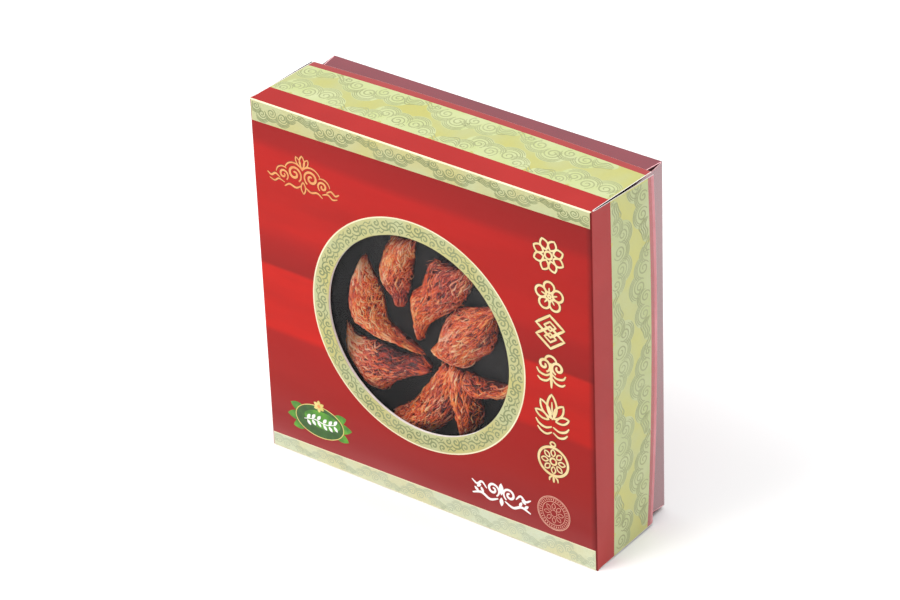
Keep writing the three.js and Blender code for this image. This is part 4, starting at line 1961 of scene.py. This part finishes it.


# In the patches below, the darkening pink-purple ones are painted shade and some small bright ones
# are painted highlights; the rest is the nests' own colour.
NESTS = [
    Nest("nest_left", [
        NestLobe(
            10.5,
            [(-13.2, 86.4), (-22.2, 90.7), (-33.6, 89.6), (-47.2, 91.4), (-55.3, 93.7),
             (-59.1, 105.6), (-56.6, 118.8), (-52.4, 127.7), (-50.9, 132.5)],
            [(-25.4, 92.4), (-29.3, 93.7), (-35.6, 98.6), (-38.9, 112.1), (-41.2, 119),
             (-45.2, 125.6), (-48.7, 133.1)],
            tone=0.53, pale_end=0.12)],
         seed=11, patches=(
             Patch(-44.5, 108.0, 6.0, 0.14, 0.0), Patch(-46.6, 129.6, 4.5, 0.26, 0.45),
             Patch(-38.1, 123.7, 3.2, 0.16, 0.0), Patch(-36.1, 111.2, 3.6, 0.18, 0.0),
             Patch(-33.5, 97.6, 4.0, 0.14, 0.0), Patch(-15.6, 93.1, 7.0, -0.04, 0.1),
             Patch(-56.5, 110.0, 5.5, -0.20, 0.9), Patch(-46.0, 94.5, 5.0, -0.10, 0.5))),
    Nest("nest_top", [
        NestLobe(
            9.5,
            [(-27.6, 114.2), (-27.4, 121.6), (-33.6, 125.6), (-37.2, 132.5), (-34.6, 142.6),
             (-31.4, 149.6), (-27.6, 155.4)],
            [(-23.3, 113), (-21.4, 119.5), (-18.8, 131.3), (-16.9, 142.6), (-15.9, 149.4),
             (-15.2, 155.8)],
            tone=0.52, fray=0.30)],
         seed=12, strands=900, patches=(
             Patch(-16.3, 144.6, 5.0, 0.16, 0.0), Patch(-26.3, 143.7, 4.0, 0.12, 0.0),
             Patch(-20.9, 119.5, 5.5, -0.26, 0.9))),
    Nest("nest_upper_right", [
        NestLobe(
            10.5,
            [(-11.5, 97.1), (-14.4, 110.4), (-17, 122), (-9.6, 130.4), (-6.4, 140.9),
             (-2.2, 147.6), (5.6, 147.8)],
            [(-11.4, 98.4), (-9.4, 103.2), (-6.4, 107.8), (4.1, 116.9), (17.8, 131.2),
             (21.6, 139.6), (23.8, 149.1)],
            tone=0.48)],
         seed=13, patches=(
             Patch(9.5, 146.0, 9.0, -0.14, 1.0), Patch(-7.9, 112.7, 7.0, 0.08, 0.0),
             Patch(22.2, 138.3, 5.0, 0.12, 0.7), Patch(4.8, 131.3, 6.0, 0.02, 0.6))),
    Nest("nest_right", [
        NestLobe(
            10.8,
            [(-4.6, 92.8), (0.1, 98.7), (3.1, 109), (9.7, 119.5), (14.3, 123.3), (26.5, 127.1),
             (35.6, 130.6)],
            [(-0.6, 95.2), (7.4, 89.4), (17, 88), (24.5, 95.6), (33.8, 104.5), (37, 113.6),
             (38, 121.6)],
            tone=0.52, pale_hub=0.12, fray=2.20)],
         seed=14, strands=1200, patches=(
             Patch(11.8, 108.8, 7.0, 0.14, 0.7), Patch(26.1, 106.9, 5.0, 0.1, 0.0),
             Patch(37.0, 117.4, 8.0, -0.22, 0.4), Patch(2.4, 93.5, 4.0, 0.12, 0.1),
             Patch(22.8, 121.9, 6.0, 0.05, 0.6))),
    Nest("nest_lower_right", [
        NestLobe(
            10.5,
            [(15.1, 79), (10, 62.2), (2.8, 48.5), (-5.1, 40.7), (-15.6, 34.5), (-27.6, 33.3)],
            [(1.6, 84.4), (-5.1, 74.2), (-12.3, 63.6), (-20.8, 52.4), (-33.5, 42.4)],
            tone=0.50),
        NestLobe(
            11.3,
            [(21.1, 83), (24.6, 70.4), (26.5, 61.3), (23.6, 51.7), (15.5, 38.7)],
            [(6.2, 87.9), (6.5, 74.2), (13.3, 61.9), (16.2, 49)],
            tone=0.46),
        NestLobe(
            8.5,
            [(13.8, 85.1), (25.5, 83.3), (35.8, 84.4), (43.1, 84.5), (47.2, 89.3)],
            [(14.4, 74.9), (28, 73.4), (36.2, 77), (42.8, 78.2), (48.2, 79.6)],
            tone=0.46, fray=2.00)],
         seed=15, strands=1500, patches=(
             Patch(-7.9, 68.3, 10.0, 0.06, 0.25), Patch(5.8, 62.5, 6.0, -0.10, 1.0),
             Patch(21.9, 64.4, 9.0, -0.08, 0.15), Patch(12.2, 71.1, 3.4, 0.22, 0.0),
             Patch(33.8, 82.2, 7.0, -0.12, 0.35), Patch(43.4, 84.4, 4.0, 0.24, 0.6),
             Patch(36.3, 77.8, 3.0, 0.26, 0.6), Patch(-22.5, 45.0, 6.0, -0.02, 0.6))),
    Nest("nest_lower_left", [
        NestLobe(
            10.5,
            [(-8.6, 75.8), (-13.4, 73.1), (-19.4, 70.2), (-25.6, 66.6), (-33.4, 60.6),
             (-38.6, 54.6), (-45.6, 54.2), (-51, 60.9), (-55.6, 64.6), (-59.4, 65.1)],
            [(-8, 79.9), (-14.5, 83.9), (-27.3, 80.5), (-38.2, 82.1), (-50.6, 81.3),
             (-59.5, 81.9), (-62.4, 86)],
            tone=0.49, pale_end=0.20, fray=1.60)],
         seed=16, strands=1200, patches=(
             Patch(-57.7, 79.0, 5.0, 0.22, 0.55), Patch(-47.9, 72.2, 8.0, 0.14, 0.7),
             Patch(-18.8, 80.4, 10.0, -0.32, 1.0), Patch(-34.3, 80.4, 7.0, -0.20, 1.0))),
]


def all_finishes() -> dict[str, Material]:
    """Builds every material of the box.

    Returns:
        The materials by the name that the pieces use.
    """
    made = {
        "satin": SatinPrint(),
        "gold": FoilPrint("gold_band_print"),
        # The walls' gold is a brighter copy of the face's gold print: painted light for the walls.
        "wall_gold": FoilPrint("wall_band_print_painted_light", (0.54, 0.52, 0.16), (0.52, 0.52, 0.19),
                               (0.50, 0.52, 0.24)),
        # The lower band's gold is a paler copy of the gold print: a painted reflection of the pale
        # floor.
        "low_gold": FoilPrint("lower_band_print_painted_reflection", (0.62, 0.60, 0.36), (0.60, 0.62, 0.42),
                              (0.58, 0.63, 0.47)),
        "cream": InkFinish("cream_line_print", (0.78, 0.72, 0.50), (0.70, 0.62, 0.40),
                           roughness=0.4),
        "cut": InkFinish("cut_card_edge", (0.84, 0.80, 0.77), (0.74, 0.68, 0.66), patch_mm=3,
                         roughness=0.8, specular=0.2, grain_mm=0.2, grain_depth=0.03),
        "wall_red": InkFinish("red_wall_print", (0.40, 0.020, 0.018), (0.34, 0.016, 0.015),
                              patch_mm=60, roughness=0.34, specular=0.3, wave_depth=0.25),
        "wall_rim": InkFinish("glossy_rear_edge_print", (0.38, 0.030, 0.028),
                              (0.33, 0.024, 0.024), patch_mm=60, roughness=0.22, coat=0.6,
                              wave_depth=0.25),
        "seam": InkFinish("shaded_seam_board", (0.05, 0.012, 0.012), (0.04, 0.010, 0.010),
                          roughness=0.8, specular=0.1),
        "lining": InkFinish("grey_card_lining", (0.40, 0.38, 0.35), (0.32, 0.30, 0.28),
                            patch_mm=8, roughness=0.85, specular=0.2, grain_mm=0.4,
                            grain_depth=0.03),
        # A pale copy of the rear edge's red, used on the right wall only: painted sheen.
        "pale_rim": InkFinish("rear_edge_print_painted_sheen", (0.66, 0.24, 0.27), (0.56, 0.16, 0.18),
                              patch_mm=30, roughness=0.35),
        "worn": InkFinish("worn_pink_edge", (0.84, 0.50, 0.52), (0.74, 0.38, 0.40), patch_mm=4,
                          roughness=0.6, specular=0.3),
        "tray": InkFinish("wine_tray_board", (0.23, 0.022, 0.038), (0.18, 0.018, 0.032),
                          patch_mm=60, roughness=0.2, specular=0.8, coat=0.9, wave_depth=0.15),
        "platform": InkFinish("black_platform_board", (0.014, 0.014, 0.015),
                              (0.022, 0.021, 0.021), patch_mm=40, roughness=0.55,
                              specular=0.14, grain_mm=0.8, grain_depth=0.004),
        "film": ClearFilm(),
        "scroll": InkFinish("scroll_print", (0.17, 0.20, 0.075), (0.24, 0.27, 0.12), patch_mm=20,
                            roughness=0.4),
        "wall_scroll": InkFinish("faint_scroll_print", (0.29, 0.31, 0.15), (0.36, 0.39, 0.20),
                                 patch_mm=20, roughness=0.4),
        # Paler scroll ink for the lower band, part of the same painted reflection of the floor.
        "low_scroll": InkFinish("pale_scroll_print_painted_reflection", (0.38, 0.42, 0.28), (0.46, 0.50, 0.36),
                                patch_mm=20, roughness=0.4),
        "cloud": InkFinish("cloud_body_print", (0.46, 0.51, 0.225), (0.50, 0.54, 0.29),
                           patch_mm=16, roughness=0.38),
        "ink_gold": InkFinish("pale_gold_print", (0.69, 0.51, 0.22), (0.76, 0.62, 0.33),
                              patch_mm=6, roughness=0.35, metallic=0.15),
        "ink_shadow": InkFinish("dark_outline_print", (0.12, 0.012, 0.008),
                                (0.16, 0.02, 0.012), roughness=0.4, specular=0.2),
        "ink_copper": InkFinish("copper_print", (0.66, 0.22, 0.06), (0.74, 0.34, 0.10),
                                patch_mm=5, roughness=0.35, metallic=0.15),
        "ink_green": InkFinish("green_badge_print", (0.016, 0.065, 0.006), (0.030, 0.12, 0.010),
                               patch_mm=5, roughness=0.4),
        "ink_leaf": InkFinish("bright_green_print", (0.035, 0.17, 0.008), (0.10, 0.34, 0.015),
                              patch_mm=6, roughness=0.4),
        "ink_white": InkFinish("white_print", (0.86, 0.84, 0.82), (0.78, 0.75, 0.72),
                               patch_mm=8, roughness=0.45),
        "ink_yellow": InkFinish("yellow_gold_print", (0.62, 0.50, 0.12), (0.74, 0.62, 0.22),
                                patch_mm=5, roughness=0.35),
        "ink_seal": InkFinish("rose_gold_print", (0.60, 0.28, 0.20), (0.70, 0.38, 0.28),
                              patch_mm=5, roughness=0.4),
        "nest_body": StrandFinish("nest_body", roughness=0.65, coat=0.0),
        "strands": StrandFinish("nest_strands"),
    }
    return {name: finish.build() for name, finish in made.items()}


class Studio:
    """The plain pale floor, soft lights and camera."""

    def build(self) -> None:
        """Builds the studio."""
        self._floor()
        self._lights()
        self._camera()

    def _floor(self) -> None:
        """Adds a plain near-white floor."""
        mesh = bpy.data.meshes.new("studio_floor")
        reach = 12.0
        mesh.from_pydata([(-reach, -reach, 0), (reach, -reach, 0), (reach, reach, 0),
                          (-reach, reach, 0)], [], [(0, 1, 2, 3)])
        bench = NodeBench("studio_floor")
        tint = bench.noise(0.6, 1.0)
        bench.set(Base_Color=bench.ramp(tint, [(0.3, (0.93, 0.93, 0.93)),
                                               (0.7, (0.95, 0.95, 0.95))]),
                  Roughness=0.9, Specular_IOR_Level=0.1)
        mesh.materials.append(bench.material)
        add_object("studio_floor", mesh)

    def _lights(self) -> None:
        """Adds the pale surroundings and the soft lights."""
        world = bpy.data.worlds.new("studio_air")
        world.use_nodes = True
        nodes, links = world.node_tree.nodes, world.node_tree.links
        back = nodes["Background"]
        back.inputs["Strength"].default_value = 0.78
        toward = nodes.new("ShaderNodeVectorMath")
        toward.operation = "DOT_PRODUCT"
        toward.inputs[1].default_value = (-0.523, 0.674, 0.522)
        links.new(nodes.new("ShaderNodeTexCoord").outputs["Generated"], toward.inputs[0])
        shade = nodes.new("ShaderNodeMapRange")
        for index, number in enumerate((0.72, 0.97, 1.0, 0.52), start=1):
            shade.inputs[index].default_value = number
        links.new(toward.outputs["Value"], shade.inputs[0])
        links.new(shade.outputs[0], back.inputs["Color"])
        bpy.context.scene.world = world
        for name, place, aim, size, power in (
                ("key_softbox", (-0.9, -1.3, 2.0), (0, 0, 0.1), 1.4, 42.0),
                ("top_softbox", (0.2, 0.6, 2.2), (0, 0, 0.1), 1.6, 22.0)):
            data = bpy.data.lights.new(name, "AREA")
            data.size = size
            data.energy = power
            lamp = add_object(name, data)
            lamp.location = place
            lamp.rotation_euler = (Vector(aim) - Vector(place)).to_track_quat("-Z", "Y").to_euler()

    def _camera(self) -> None:
        """Adds the camera at the photograph's place and angle."""
        yaw, pitch, roll = (math.radians(a) for a in (-37.819, -31.484, 2.316))
        ahead = Vector((math.sin(yaw) * math.cos(pitch), math.cos(yaw) * math.cos(pitch),
                        math.sin(pitch)))
        level = ahead.cross(Vector((0, 0, 1))).normalized()
        over = level.cross(ahead)
        right = math.cos(roll) * level - math.sin(roll) * over
        up = math.cos(roll) * over + math.sin(roll) * level
        data = bpy.data.cameras.new("camera")
        data.lens = 152.0
        data.sensor_width = 36.0
        data.clip_start = 0.1
        data.clip_end = 60.0
        camera = add_object("camera", data)
        turn = Matrix((right, up, -ahead)).transposed()
        camera.rotation_euler = turn.to_euler()
        camera.location = (1.05642, -1.37134, 1.17416)
        bpy.context.scene.camera = camera


def dress_node(name: str, material: Material) -> None:
    """Gives a solid of the frame a new material.

    Args:
        name: The node's name.
        material: Its material.
    """
    mesh = bpy.data.objects[name].data
    mesh.materials.clear()
    mesh.materials.append(material)
    LOG.info("%s: solid dressed", name)


def main() -> None:
    """Builds the whole scene, piece by piece."""
    logging.basicConfig(level=logging.INFO, format="%(message)s")
    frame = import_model()
    LOG.info("solids: %d", len(frame["nodes"]))
    finishes = all_finishes()
    box = {name: (low / METRES, high / METRES)
           for name, (low, high) in ((n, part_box(n)) for n in frame["nodes"])}

    lid_low, lid_high = box["lid"]
    top = LID_BENDS[Side.TOP.value]
    lid_size = lid_high.z - lid_low.z - top.bow - (top.start + top.end) / 2
    lid_shape = FoldedTray(
        size=lid_size, depth=lid_high.y - lid_low.y, fold_y=lid_low.y,
        centre_z=lid_low.z + lid_size / 2, wall=2.0, bends=LID_BENDS, seam_fold=0.25,
        seam_edge=1.1)
    film_low, film_high = box["window_film"]
    lid = LidShell(lid_shape, hole_x=(film_low.x + film_high.x) / 2,
                   hole_z=(film_low.z + film_high.z) / 2, hole_radius=59.7)
    report(lid.build(finishes), "printed_board", "lid")
    report(ScrollPrint(lid).build(finishes), "printed_board")
    report(FacePrint(lid_low.y + SKIN).build(finishes), "printed_board")

    tray_low, tray_high = box["tray"]
    tray_size = tray_high.x - tray_low.x
    tray_shape = FoldedTray(
        size=tray_size, depth=tray_high.y - tray_low.y, fold_y=tray_high.y,
        centre_z=(tray_low.z + tray_high.z) / 2, wall=2.0, direction=-1,
        seam_fold=1.5, seam_edge=1.5)
    report(TrayShell(tray_shape).build("tray_folded_card", finishes), "tray_board", "tray")

    dress_node("platform", finishes["platform"])
    dress_node("window_film", finishes["film"])

    tree = StrandTree()
    for nest in NESTS:
        nest.build(finishes, tree)

    Studio().build()
    bpy.context.scene.view_settings.view_transform = "Standard"
    bpy.context.view_layer.update()


if __name__ == "__main__":
    main()
